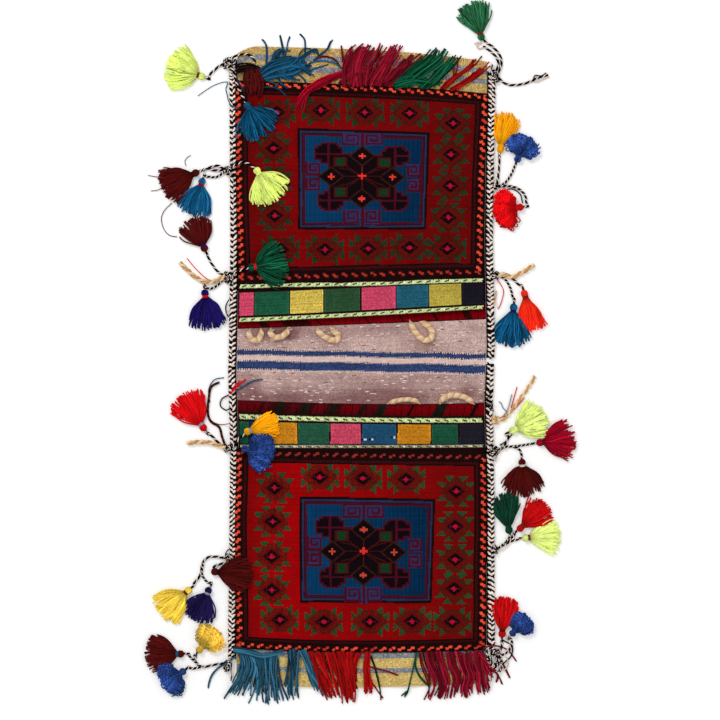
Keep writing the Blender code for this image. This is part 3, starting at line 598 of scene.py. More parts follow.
def add_tubes(piece, paths, radius, sides, tint):
    """Closed tubes along paths (strand, point, 3). Tint is one colour, or one a strand or point."""
    paths = np.asarray(paths, float)
    strands, count, _ = paths.shape
    radius = np.broadcast_to(radius, (strands, count))
    tangent, side, lift = tube_frames(paths)
    turn = 2 * np.pi * np.arange(sides) / sides
    ring = side[:, :, None] * np.cos(turn)[:, None] + lift[:, :, None] * np.sin(turn)[:, None]
    points = (paths[:, :, None] + ring * radius[:, :, None, None]).reshape(-1, 3)
    first = paths[:, 0] - tangent[:, 0] * radius[:, :1] * 0.7
    last = paths[:, -1] + tangent[:, -1] * radius[:, -1:] * 0.7
    index = np.arange(len(points)).reshape(strands, count, sides)
    after = np.roll(index, -1, axis=2)
    quads = np.stack([index[:, :-1], index[:, 1:], after[:, 1:], after[:, :-1]], -1).reshape(-1, 4)
    start = len(points) + np.arange(strands)[:, None] + np.zeros((1, sides), int)
    starts = np.stack([start, index[:, 0], after[:, 0]], -1).reshape(-1, 3)
    ends = np.stack([start + strands, after[:, -1], index[:, -1]], -1).reshape(-1, 3)
    tint = np.asarray(tint, float)
    if tint.ndim == 2:
        tint = tint[:, None]
    colours = np.broadcast_to(tint, (strands, count, 3))
    near = np.broadcast_to(colours[:, :-1, None], (strands, count - 1, sides, 3))
    far = np.broadcast_to(colours[:, 1:, None], (strands, count - 1, sides, 3))
    quad_tints = np.stack([near, far, far, near], -2).reshape(-1, 4, 3)
    start_tints = np.repeat(colours[:, 0], sides, axis=0)[:, None]
    end_tints = np.repeat(colours[:, -1], sides, axis=0)[:, None]
    piece.add(np.concatenate([points, first, last]), [quads, starts, ends],
              [quad_tints, start_tints, end_tints])


def grid_quads(rows, columns, start=0):
    index = start + np.arange((rows + 1) * (columns + 1)).reshape(rows + 1, columns + 1)
    return index, np.stack([index[:-1, :-1], index[:-1, 1:], index[1:, 1:], index[1:, :-1]], -1)


def middles(values):
    """The middle of each square of a grid, from two of its corners."""
    return (values[:-1, :-1] + values[1:, 1:]) / 2


def border(index):
    """The points round a grid, once round."""
    return np.concatenate([index[0, :-1], index[:-1, -1], index[-1, :0:-1], index[:0:-1, 0]])


def add_shell(piece, top, bottom, top_tint, bottom_tint, upright):
    """A closed cloth between two grids. The bottom grid may have half the top one's squares."""
    rows, columns = top.shape[0] - 1, top.shape[1] - 1
    low_rows, low_columns = bottom.shape[0] - 1, bottom.shape[1] - 1
    index, quads = grid_quads(rows, columns)
    low_index, low_quads = grid_quads(low_rows, low_columns, (rows + 1) * (columns + 1))
    edge, low_edge = border(index), border(low_index)
    edge_after, low_after = np.roll(edge, -1), np.roll(low_edge, -1)
    quads, low_quads = quads.reshape(-1, 4), low_quads.reshape(-1, 4)[:, ::-1]
    if len(edge) == len(low_edge):
        walls = np.stack([edge, low_edge, low_after, edge_after], -1)
    else:
        first, middle, last = edge[::2], edge[1::2], np.roll(edge[::2], -1)
        walls = np.concatenate([
            np.stack([first, low_edge, middle], -1),
            np.stack([middle, low_edge, low_after], -1),
            np.stack([middle, low_after, last], -1),
        ])
    groups = [quads, low_quads, walls]
    if not upright:
        groups = [group[:, ::-1] for group in groups]
    piece.add(np.concatenate([top.reshape(-1, 3), bottom.reshape(-1, 3)]), groups,
              [np.asarray(top_tint, float).reshape(-1, 1, 3),
               np.asarray(bottom_tint, float).reshape(-1, 1, 3),
               np.asarray(bottom_tint, float).reshape(-1, 3).mean(axis=0)])


# Materials

def new_group(name, inputs, outputs):
    group = bpy.data.node_groups.new(name, "ShaderNodeTree")
    for title, kind, value in inputs:
        socket = group.interface.new_socket(title, in_out="INPUT", socket_type=kind)
        if value is not None:
            socket.default_value = value
    for title, kind in outputs:
        group.interface.new_socket(title, in_out="OUTPUT", socket_type=kind)
    return group, group.nodes.new("NodeGroupInput"), group.nodes.new("NodeGroupOutput")


def noise_node(tree, scale, detail, roughness=0.6):
    node = tree.nodes.new("ShaderNodeTexNoise")
    node.inputs["Scale"].default_value = scale
    node.inputs["Detail"].default_value = detail
    node.inputs["Roughness"].default_value = roughness
    return node


def math_node(tree, operation, first=None, second=None):
    node = tree.nodes.new("ShaderNodeMath")
    node.operation = operation
    for socket, value in zip(node.inputs, (first, second)):
        if isinstance(value, (int, float)):
            socket.default_value = value
        elif value is not None:
            tree.links.new(value, socket)
    return node.outputs[0]


def range_node(tree, value, low, high):
    node = tree.nodes.new("ShaderNodeMapRange")
    node.inputs["From Min"].default_value = 0.3
    node.inputs["From Max"].default_value = 0.7
    node.inputs["To Min"].default_value = low
    node.inputs["To Max"].default_value = high
    tree.links.new(value, node.inputs["Value"])
    return node.outputs[0]


def wool_group():
    """Yarn: the colour varied by fine fuzz and by soft larger patches, and the fuzz's height."""
    group, inlet, outlet = new_group(
        "wool_yarn",
        [("Colour", "NodeSocketColor", None), ("Fuzz size", "NodeSocketFloat", 900.0),
         ("Patch size", "NodeSocketFloat", 60.0)],
        [("Colour", "NodeSocketColor"), ("Height", "NodeSocketFloat")],
    )
    place_node = group.nodes.new("ShaderNodeTexCoord")
    fuzz, patch = noise_node(group, 900.0, 4), noise_node(group, 60.0, 2)
    for node, title in ((fuzz, "Fuzz size"), (patch, "Patch size")):
        group.links.new(place_node.outputs["Object"], node.inputs["Vector"])
        group.links.new(inlet.outputs[title], node.inputs["Scale"])
    light = range_node(group, fuzz.outputs["Fac"], 0.80, 1.20)
    soft = range_node(group, patch.outputs["Fac"], 0.90, 1.10)
    scale = math_node(group, "MULTIPLY", light, soft)
    mix = group.nodes.new("ShaderNodeVectorMath")
    mix.operation = "SCALE"
    group.links.new(inlet.outputs["Colour"], mix.inputs[0])
    group.links.new(scale, mix.inputs["Scale"])
    group.links.new(mix.outputs[0], outlet.inputs["Colour"])
    group.links.new(fuzz.outputs["Fac"], outlet.inputs["Height"])
    return group


def weave_group():
    """Weft rows crossing warp threads: how high the cloth stands, and where the gaps lie."""
    group, inlet, outlet = new_group(
        "weave",
        [("Row width", "NodeSocketFloat", 0.0016), ("Thread width", "NodeSocketFloat", 0.0024)],
        [("Height", "NodeSocketFloat"), ("Shade", "NodeSocketFloat")],
    )
    place_node = group.nodes.new("ShaderNodeTexCoord")
    wobble = noise_node(group, 45.0, 2)
    group.links.new(place_node.outputs["Object"], wobble.inputs["Vector"])
    parts = group.nodes.new("ShaderNodeSeparateXYZ")
    group.links.new(place_node.outputs["Object"], parts.inputs[0])
    shift = math_node(group, "MULTIPLY", wobble.outputs["Fac"], 0.006)
    waves = []
    for axis, title in ((1, "Row width"), (0, "Thread width")):
        along = math_node(group, "ADD", parts.outputs[axis], shift)
        turns = math_node(group, "DIVIDE", along, inlet.outputs[title])
        angle = math_node(group, "MULTIPLY", turns, 2 * math.pi)
        waves.append(math_node(group, "SINE", angle))
    cross = math_node(group, "MULTIPLY", waves[0], waves[1])
    rows = math_node(group, "MULTIPLY", waves[0], 0.6)
    height = math_node(group, "ADD", rows, math_node(group, "MULTIPLY", cross, 0.4))
    group.links.new(height, outlet.inputs["Height"])
    # painted shade: the colour is a little darker in the gaps between rows and threads
    shade = math_node(group, "ADD", math_node(group, "MULTIPLY", height, 0.09), 1.0)
    group.links.new(shade, outlet.inputs["Shade"])
    return group


def fabric(name, fuzz_size=900.0, patch_size=60.0, rows=None, roughness=0.95, sheen=0.0, bump=0.4):
    """A wool finish that reads the piece's own tint, with woven rows if rows gives their widths."""
    material = bpy.data.materials.new(name)
    material.use_nodes = True
    tree = material.node_tree
    shader = tree.nodes["Principled BSDF"]
    shader.inputs["Roughness"].default_value = roughness
    shader.inputs["Sheen Weight"].default_value = sheen
    shader.inputs["Sheen Roughness"].default_value = 0.5
    shader.inputs["Specular IOR Level"].default_value = 0.03
    tint = tree.nodes.new("ShaderNodeAttribute")
    tint.attribute_name = "tint"
    wool = tree.nodes.new("ShaderNodeGroup")
    wool.node_tree = WOOL
    wool.inputs["Fuzz size"].default_value = fuzz_size
    wool.inputs["Patch size"].default_value = patch_size
    tree.links.new(tint.outputs["Color"], wool.inputs["Colour"])
    colour, height = wool.outputs["Colour"], wool.outputs["Height"]
    if rows:
        weave = tree.nodes.new("ShaderNodeGroup")
        weave.node_tree = WEAVE
        weave.inputs["Row width"].default_value = rows[0]
        weave.inputs["Thread width"].default_value = rows[1]
        shade = tree.nodes.new("ShaderNodeVectorMath")
        shade.operation = "SCALE"
        tree.links.new(colour, shade.inputs[0])
        tree.links.new(weave.outputs["Shade"], shade.inputs["Scale"])
        colour = shade.outputs[0]
        height = math_node(tree, "ADD", height, weave.outputs["Height"])
    tree.links.new(colour, shader.inputs["Base Color"])
    relief = tree.nodes.new("ShaderNodeBump")
    relief.inputs["Strength"].default_value = bump
    relief.inputs["Distance"].default_value = 0.0006
    tree.links.new(height, relief.inputs["Height"])
    tree.links.new(relief.outputs["Normal"], shader.inputs["Normal"])
    return material


WOOL = wool_group()
WEAVE = weave_group()
YARN_FINISH = fabric("tassel_yarn", fuzz_size=700.0, sheen=0.02)
CORD_FINISH = fabric("twisted_cord", fuzz_size=1100.0, roughness=0.9)
PILE_FINISH = fabric("knotted_pile", fuzz_size=800.0, patch_size=30.0, rows=(0.0021, 0.0030))
WEAVE_FINISH = fabric("flat_weave", fuzz_size=700.0, patch_size=40.0, rows=(0.0018, 0.0026), bump=0.5)
BRAID_FINISH = fabric("plaited_wool", fuzz_size=900.0)


# Camera, lights and floor

def make_camera():
    """Straight above the bag, as far off as makes the frame 720 pixels of PIXEL metres."""
    distance, sensor = 6.0, 36.0
    camera = bpy.data.cameras.new("camera")
    camera.sensor_width = sensor
    camera.lens = sensor * distance / (FRAME_PIXELS * PIXEL)
    camera.clip_end = 40
    thing = bpy.data.objects.new("camera", camera)
    x, y = at_pixel(FRAME_PIXELS / 2, FRAME_PIXELS / 2)
    thing.location = (x, y, distance)
    bpy.context.scene.collection.objects.link(thing)
    bpy.context.scene.camera = thing


def make_light(name, place_at, size, watts):
    lamp = bpy.data.lights.new(name, "AREA")
    lamp.shape = "DISK"
    lamp.size = size
    lamp.energy = watts
    thing = bpy.data.objects.new(name, lamp)
    thing.location = place_at
    thing.rotation_euler = (-Vector(place_at)).to_track_quat("-Z", "Y").to_euler()
    bpy.context.scene.collection.objects.link(thing)


def seen_directly(tree):
    """1 for rays from the camera, off a shine or through glass, and 0 for the light that falls on things."""
    paths = tree.nodes.new("ShaderNodeLightPath")
    seen = math_node(tree, "MAXIMUM", paths.outputs["Is Camera Ray"], paths.outputs["Is Glossy Ray"])
    return math_node(tree, "MAXIMUM", seen, paths.outputs["Is Transmission Ray"])


def make_world():
    world = bpy.data.worlds.new("room")
    world.use_nodes = True
    tree = world.node_tree
    tree.nodes.clear()
    out = tree.nodes.new("ShaderNodeOutputWorld")
    room, white = tree.nodes.new("ShaderNodeBackground"), tree.nodes.new("ShaderNodeBackground")
    room.inputs["Strength"].default_value = 0.56
    white.inputs["Strength"].default_value = 1.0
    for node in (room, white):
        node.inputs["Color"].default_value = (1, 1, 1, 1)
    mix = tree.nodes.new("ShaderNodeMixShader")
    tree.links.new(seen_directly(tree), mix.inputs[0])
    tree.links.new(room.outputs[0], mix.inputs[1])
    tree.links.new(white.outputs[0], mix.inputs[2])
    tree.links.new(mix.outputs[0], out.inputs[0])
    bpy.context.scene.world = world


def make_floor():
    bpy.ops.object.select_all(action="DESELECT")
    bpy.ops.mesh.primitive_plane_add(size=8, location=(0, 0, -0.0005))
    floor = bpy.context.object
    floor.name = "floor"
    material = bpy.data.materials.new("floor_paper")
    material.use_nodes = True
    tree = material.node_tree
    shader = tree.nodes["Principled BSDF"]
    shader.inputs["Base Color"].default_value = (0.96, 0.955, 0.95, 1)
    shader.inputs["Roughness"].default_value = 1.0
    shader.inputs["Specular IOR Level"].default_value = 0.0
    # the paper is overexposed to the camera alone, so its light on the bag stays as it is
    glow = math_node(tree, "MULTIPLY", seen_directly(tree), 0.22)
    shader.inputs["Emission Color"].default_value = (1, 1, 1, 1)
    tree.links.new(glow, shader.inputs["Emission Strength"])
    floor.data.materials.append(material)


bpy.context.scene.view_settings.view_transform = "Standard"
make_camera()
make_world()
make_light("key", (-1.6, 2.2, 3.4), 1.6, 62)
make_light("fill", (2.4, -1.6, 3.0), 2.4, 18)
make_floor()


# Cords

def twisted(piece, path, diameter, tints, turn_length, sides=5, taper=0.0):
    """Plies wound round each other along a path, one for each tint, thinning to nothing at tapered ends."""
    _, side, lift = tube_frames(path[None])
    steps = np.linalg.norm(np.diff(path, axis=0), axis=1)
    along = np.concatenate([[0], np.cumsum(steps)])
    strands = []
    plies = len(tints)
    size = np.ones(len(path))
    if taper:
        size = np.clip(np.minimum(along, along[-1] - along) / taper, 0.15, 1)
        path = path - (1 - size)[:, None] * np.array((0, 0, diameter / 2))
    ply = diameter * size * (0.41 - 0.04 * plies)
    offset = diameter * size[:, None] * (0.29 if plies == 2 else 0.25)
    for k in range(plies):
        angle = 2 * np.pi * (along / turn_length + k / plies)
        swing = side[0] * np.cos(angle)[:, None] + lift[0] * np.sin(angle)[:, None]
        strands.append(path + swing * offset)
    add_tubes(piece, np.array(strands), np.tile(ply, (plies, 1)), sides, np.array(tints, float))


def node_of(tassel):
    """The node that a tassel belongs to: two of them share one."""
    return "tassel_pair_on_mouth" if tassel.endswith("on_mouth") else tassel


def route_length(path):
    return float(np.linalg.norm(np.diff(path, axis=0), axis=1).sum())


def cord_points(knot, tassel, route, diameter):
    """A free cord's points: out of the knot, down to the floor and on to the tassel's head."""
    lying = CORD_REST + diameter / 2
    points = []
    for i, (out, up) in enumerate(route):
        points.append((*from_knot(knot, out, up), KNOT_HEIGHT if i == 0 else lying))
    if tassel in TASSELS:
        tip, way, _ = tassel_frame(tassel)
        for back in (GAP + CORD_APPROACH_DIAMETERS * diameter, GAP):
            points.append((*(tip - way * back), tip_height(tassel)))
    return points


def own_cord_points(name):
    """The route of a cord that is one piece with its tassel, from beside the knot to the head."""
    knot = TASSELS[name][0]
    points = []
    for out, up in OWN_CORD_ROUTES[name]:
        x, y = from_knot(knot, out, up)
        base = support_near(x, y, CORD_LOOK) if name in ON_THE_BAG else 0.0
        points.append([x, y, base + CORD_REST + CORD_LOOK / 2])
    points[0][2] = max(points[0][2], KNOT_HEIGHT)
    tip, way, length = tassel_frame(name)
    inside = tip + way * length * TASSEL_STATION_SHARES[2][0]
    points.append([*inside, tip_height(name)])
    return points


CORD_TINTS = (YARN["black"], YARN["white"], YARN["black"], YARN["black"])
TAN_TINTS = (srgb(248, 220, 178), srgb(218, 168, 104))
CORD_STEP = 0.0011
CORD_LOOK = 0.0046
TAIL_LOOK = 0.0074
TURN_LENGTHS = (0.009, 0.013, 0.0075)
TAN_TURN_LENGTH = 0.021
SHORTEST_CORD = 0.031


def cord_looks(name, tassel):
    """The colours and diameter of a free cord: most are black and white, the tails are tan."""
    if name == "right_rope_cord":
        return TAN_TINTS, ROPE_DIAMETER
    if tassel is None and name in ("left_mouth_cord", "left_lower_mouth_cord", "right_mouth_cord"):
        return TAN_TINTS, TAIL_LOOK
    if tassel == "loop":
        return (YARN["black"], YARN["rust"], YARN["black"]), CORD_LOOK
    return CORD_TINTS, CORD_LOOK


def lay_cord(name, path, diameter, tints, turn, body):
    """A twisted cord along a path, riding a body."""
    piece = Piece()
    twisted(piece, path, diameter, tints, turn)
    cord = piece.build(name, CORD_FINISH)
    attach(cord, body)
    return cord


def make_free_cords():
    """Each route of a knot is a twisted cord, and together they stand for the knot's node."""
    for name, routes in CORD_ROUTES.items():
        knot = name.rsplit("_", 1)[0]
        for number, (tassel, route) in enumerate(routes.items(), 1):
            tints, diameter = cord_looks(name, tassel)
            path = smooth_route(cord_points(knot, tassel, route, diameter), CORD_STEP)
            turn = TAN_TURN_LENGTH if tints is TAN_TINTS else TURN_LENGTHS[number % 3]
            cord = lay_cord(f"{name}_{number}", path, diameter, tints, turn, body_of(name))
            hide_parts(name)


def make_own_cords():
    """The cords that lie on the bag, from its edge to the tassels that lie on it."""
    for name in OWN_CORD_ROUTES:
        path = smooth_route(own_cord_points(name), CORD_STEP)
        if route_length(path) >= SHORTEST_CORD:
            body = body_of(node_of(name))
            lay_cord(f"{name}_cord", path, CORD_LOOK, CORD_TINTS, TURN_LENGTHS[1], body)


# Each plaited loop out over the bridge, in photograph pixels. Its two ends go under the strip.
LOOPS = {
    "upper": (
        ((250.2, 328.4), (249.2, 333), (250.5, 337.5), (254.6, 340.6), (259, 339), (261.2, 333.5),
         (260.8, 328)),
        ((271.2, 328), (270.3, 332.4), (273.4, 336.6), (278.6, 337.4), (284, 335), (287.6, 331),
         (288, 327)),
        ((316.6, 327), (318.6, 331.4), (323.5, 336), (330, 339.4), (336.6, 340), (338.2, 335.4),
         (333.6, 330.8), (329.6, 326.6)),
        ((409.4, 320), (412.6, 327.5), (417.2, 334.6), (422.2, 339.2), (428, 340), (432, 336), (431.4, 330),
         (426.6, 325), (419, 321.5)),
    ),
    "lower": (
        ((387, 404), (393, 401.4), (401, 399.8), (409.5, 399.4), (416, 400.8), (420.5, 404)),
        ((440, 404.4), (441.6, 400), (447, 396.2), (455, 395.2), (463.6, 396.8), (470, 400.4),
         (474.5, 404.4)),
    ),
}
LOOP_PLAIT = 0.0104


def make_closure_cord(pouch):
    """Tan loops of thick plait that come out from under the strip over the bridge."""
    piece = Piece()
    tints = (srgb(236, 198, 158), srgb(246, 218, 184), srgb(220, 178, 130))
    for loop in LOOPS[pouch]:
        points = []
        thick = LOOP_PLAIT if pouch == "upper" else LOOP_PLAIT * (0.78 if loop[0][0] < 400 else 0.98)
        for px, py in loop:
            points.append((*at_pixel(px, py), CLOTH_THICKNESS + thick / 2))
        twisted(piece, smooth_route(points, CORD_STEP), thick, tints, 0.012, sides=7, taper=0.009)
    name = f"{pouch}_closure_cord"
    dress(piece.build(f"{name}_plait", CORD_FINISH), body_of(name), name)


# Second cords beside the first, and one along the flap: knot, body and points (out, up)
DOUBLE_CORDS = (
    ("left_corner", "upper_pouch", ((-1, 3), (-7, 6), (-14, 8.5), (-21, 9), (-26, 6.5), (-29, 1))),
    ("left_upper", "left_upper_tassels", ((0, 1.2), (7, 0.5), (13, 0.5), (18, 2), (23, 1.2))),
    ("right_corner", "right_corner_tassels", ((-1.6, 4.2), (1.4, 12), (-1, 19.5), (-7, 25.5), (-13.5, 30))),
)


def make_double_cords():
    for knot, body, route in DOUBLE_CORDS:
        points = []
        for out, up in route:
            x, y = from_knot(knot, out, up)
            base = float(surface_heights(x, y)) if body.endswith("pouch") else CORD_REST
            points.append((x, y, base + CORD_LOOK / 2 + CORD_REST))
        path = smooth_route(points, CORD_STEP)
        lay_cord(f"{knot}_second_cord", path, CORD_LOOK, CORD_TINTS, TURN_LENGTHS[1], body)


make_free_cords()
make_own_cords()
make_double_cords()
for pouch_name in POUCHES:
    make_closure_cord(pouch_name)


# Tassels

def noise_between(random, low, high, *shape):
    return low + (high - low) * random.random(shape)


# Each station of a tassel's head: its place along the tassel and how full it is, as shares
HEAD_SHARES = ((0, 0.30), (0.03, 0.80), (0.07, 1), (0.11, 0.98), (0.15, 0.76), (0.185, 0.60))


def tassel(name, random):
    """A tied head and a skirt of loose strands that fan out and lie on what is under them."""
    tip, way, length = tassel_frame(name)
    across = np.array((-way[1], way[0]))
    width_share, colour, tie = TASSELS[name][4:]
    on_bag, crimped = name in ON_THE_BAG, name in CRIMPED
    width = TASSEL_WIDTH * width_share * (1.24 if on_bag else 1.14)
    strands, stations = (150, 34) if crimped else (125, 12)
    yarn = CRIMPED_YARN if crimped else TASSEL_YARN
    turn = random.random(strands) * 2 * np.pi
    reach = np.sqrt(random.random(strands))
    u, v = (reach * np.cos(turn))[:, None], (reach * np.sin(turn))[:, None]
    # the head, tied in at its neck
    h, swell = np.array(HEAD_SHARES).T[:, None]
    head_along = h * length + 0 * u
    head_aside = HEAD_RADIUS * swell * u
    # the skirt, whose strands set out wide and then turn more nearly along
    s = np.linspace(0, 1, stations)[None]
    skirt = 0.80 * length * noise_between(random, 0.80, 1.06, strands, 1) * (1 - 0.10 * np.abs(u) ** 3)
    spread = math.asin(min(0.93, width / 2 / (0.78 * length)))
    phase = noise_between(random, 0, 2 * np.pi, strands, 1)
    pace = noise_between(random, *((2.6, 4.8) if crimped else (0.5, 1.4)), strands, 1)
    bend = 1.95 if crimped else 0.17
    heading = spread * u * (1.62 - 1.02 * s) + noise_between(random, -0.13, 0.13, strands, 1)
    heading = heading + bend * np.sin(phase + 2 * np.pi * pace * s) * np.minimum(1, 4 * s)
    stride = skirt / (stations - 1) * (2.3 if crimped else 1.0)
    along = head_along[:, -1:] + np.cumsum(np.cos(heading) * stride, 1)
    aside = head_aside[:, -1:] + np.cumsum(np.sin(heading) * stride, 1)
    along, aside = np.concatenate([head_along, along], 1), np.concatenate([head_aside, aside], 1)
    # from above, the widest of the skirt lies a little under its middle
    skirt_thick = np.interp(s[0], (0, 0.12, 0.45, 1), (0.58, 0.78, 1.0, 0.62))[None]
    thick = np.concatenate([swell * 0.95, skirt_thick], 1)
    plan = tip + along[..., None] * way + aside[..., None] * across
    base = np.zeros(plan.shape[:2])
    if on_bag:
        base = ground_under(plan[..., 0], plan[..., 1])
    lift = (v + 1) / 2 * (TASSEL_THICKNESS - 2 * yarn) * thick
    if crimped:
        curl = np.cos(phase + 2 * np.pi * pace * s) * np.minimum(1, 4 * s)
        wave = np.concatenate([0 * head_along, curl], 1)
        lift = lift + 0.0022 * (1 + wave)
    z = base + TASSEL_LIFT + yarn + np.maximum(lift, 0)
    paths = np.concatenate([plan, z[..., None]], -1)
    # painted light: the strands that lie higher in the tassel are lighter, and those under them darker
    tints = strand_shades(random, colour, strands) * (0.90 + 0.20 * (v + 1) / 2)
    # painted shade: the skirt is darker near the head, and the head a little darker too
    skirt_shade = np.interp(s[0], (0, 0.1, 0.3, 1), (0.60, 0.74, 1.0, 1.10))[None]
    shade = np.concatenate([np.full((1, h.shape[1]), 0.92), skirt_shade], 1)
    shade = np.broadcast_to(shade, paths.shape[:2])
    if crimped:
        # the tops of the curls catch the light
        shade = shade * (0.62 + 0.72 * ((1 + wave) / 2) ** 2)
    piece = Piece()
    add_tubes(piece, paths, yarn, 4, tints[:, None] * shade[..., None])
    add_tie(piece, tip, way, across, length, base[:, 4].max(), YARN[tie])
    return piece


def add_tie(piece, tip, way, across, length, base, tint):
    """A yarn wound a few turns round the neck of a tassel."""
    turns, count = 3.4, 44
    t = np.linspace(0, 1, count)
    angle = 2 * np.pi * turns * t
    along = (0.155 + 0.05 * t) * length
    half_width, half_height = 0.0047, 0.0042
    middle = base + TASSEL_LIFT + half_height + 0.0010
    plan = tip + along[:, None] * way + (half_width * np.cos(angle))[:, None] * across
    path = np.concatenate([plan, (middle + half_height * np.sin(angle))[:, None]], -1)
    add_tubes(piece, path[None], TIE_YARN, 5, np.array(tint))


def make_tassels():
    for number, name in enumerate(TASSELS):
        random = np.random.default_rng(100 + number)
        node = node_of(name)
        dress(tassel(name, random).build(f"{name}_yarn", YARN_FINISH), body_of(node), node)


make_tassels()


# Knots at the bag's edge

# How far the loops of a knot reach from it, in pixels, and how many there are
KNOT_SPANS = {
    "right_foot": (-2.5, -2, 8.0, 11.5, 8), "left_corner": (-1, 0, 4.0, 5.0, 4),
    "right_corner": (-2, 0, 4.0, 6.0, 4),
    "right_lower_mouth": (-3, 0, 5.0, 6.0, 5), "left_foot": (-1, -3, 4.0, 6.0, 4),
    "left_mouth": (-2, -2, 3.6, 6.0, 4),
}
# Loose yarn at each knot: yarn, radius and points (x, y) in photograph pixels
STRAYS = {
    "left_corner": (
        ("teal", 0.0009, ((228, 83), (226, 89), (227.5, 96), (229, 102), (233, 107), (240, 108))),
        ("teal", 0.0008, ((228, 82), (222, 82.6), (213, 86), (205, 91), (198, 96))),
    ),
    "left_upper": (
        ("maroon", 0.0007, ((186, 166), (185, 161), (188, 157), (191, 155.5))),
        ("maroon", 0.0007, ((166, 176), (158, 177), (148, 175.5))),
        ("maroon", 0.0007, ((168, 184), (158, 190), (151, 191))),
        ("maroon", 0.0008, ((172, 203), (165, 210), (161.5, 218), (163.5, 228), (169, 235), (177, 237))),
    ),
    "left_mouth": (
        ("red", 0.0009, ((227, 281.5), (217, 281), (208, 279.5), (197, 270), (187, 258.4))),
        ("red", 0.0009, ((203, 297), (199, 305), (196, 313), (189.5, 320))),
        ("black", 0.0012, ((229, 300), (226, 306), (226.5, 313), (229, 317))),
        ("white", 0.0011, ((230, 309), (226.6, 315), (227, 322), (229.5, 326))),
    ),
    "left_lower_mouth": (
        ("azure", 0.001, ((210, 402), (208.6, 390), (214, 380), (224, 377.6))),
        ("rust", 0.0008, ((230, 423.6), (219.6, 424.5), (210.7, 420), (208.5, 412))),
        ("black", 0.0013, ((228.6, 395), (222, 399), (220.5, 405.7), (225.9, 410), (230, 408.4))),
    ),
    "left_lower": (
        ("black", 0.0012, ((229, 549), (226, 553), (226, 559), (229, 563))),
    ),
    "right_upper": (
        ("white", 0.0014, ((493, 190), (496, 180), (497.5, 168), (498, 158))),
        ("black", 0.0012, ((497, 196), (503, 191), (512, 189), (520, 194), (522.5, 203))),
    ),
    "right_mouth": (
        ("red", 0.0009, ((497, 279), (501, 285), (503.6, 292.4), (500.5, 304.5), (498, 309))),
        ("tan", 0.0016, ((496.4, 291), (495.4, 298), (494, 304.5))),
        ("white", 0.0013, ((497, 272), (505, 275.6), (514, 281), (522, 288))),
    ),
    "right_rope": (
        ("red", 0.001, ((496, 418.6), (503, 418), (508.7, 415), (512, 404), (517, 387))),
        ("pale", 0.001, ((496, 419), (503, 416), (508, 408), (511.6, 394.4))),
        ("red", 0.001, ((502, 418), (511, 412), (518, 405), (524, 398))),
        ("pale", 0.0012, ((507, 412), (503, 408), (501, 403), (499, 402))),
        ("black", 0.001, ((484, 392), (488, 396), (485, 401), (490, 405), (493, 409))),
        ("black", 0.001, ((491, 393), (487, 399), (492, 402), (489, 408), (494, 411))),
    ),
    "right_lower_mouth": (
        ("white", 0.0013, ((507, 449), (502, 450.5), (497, 456), (496, 462))),
        ("black", 0.0013, ((500, 445), (506, 441), (512.5, 433.7))),
    ),
    "right_lower": (
        ("white", 0.0013, ((497, 552), (504, 549), (509.3, 544), (514.4, 537))),
    ),
    "right_foot": (
        ("black", 0.0014, ((503, 640), (512, 646), (511, 656), (503, 664), (500, 672))),
        ("white", 0.0014, ((499, 655), (507, 650), (510, 640), (505, 634))),
        ("cream", 0.0015, ((499, 668), (504, 670), (508, 664), (506.5, 657))),
    ),
    "right_corner": (
        ("cream", 0.0014, ((484, 41), (480, 43), (477, 46.5), (479, 49), (483, 48))),
        ("cream", 0.0012, ((481, 44), (477, 43), (474.5, 44.5))),
        ("black", 0.0011, ((533, 80), (535, 75.5), (541, 76), (546, 73))),
        ("cream", 0.0012, ((530, 81), (537, 82), (544, 79), (549, 77))),
    ),
}


def stray_path(points, step=0.0016):
    """A loose yarn lying on whatever is under it, from points in photograph pixels."""
    flat = [(*at_pixel(px, py), 0.0) for px, py in points]
    path = smooth_route(flat, step)
    ground = surface_heights(path[:, 0], path[:, 1])
    padded = np.pad(ground, 2, mode="edge")
    high = np.max([padded[k : k + len(ground)] for k in range(5)], axis=0)
    padded = np.pad(high, 2, mode="edge")
    path[:, 2] = np.mean([padded[k : k + len(ground)] for k in range(5)], axis=0)
    return path


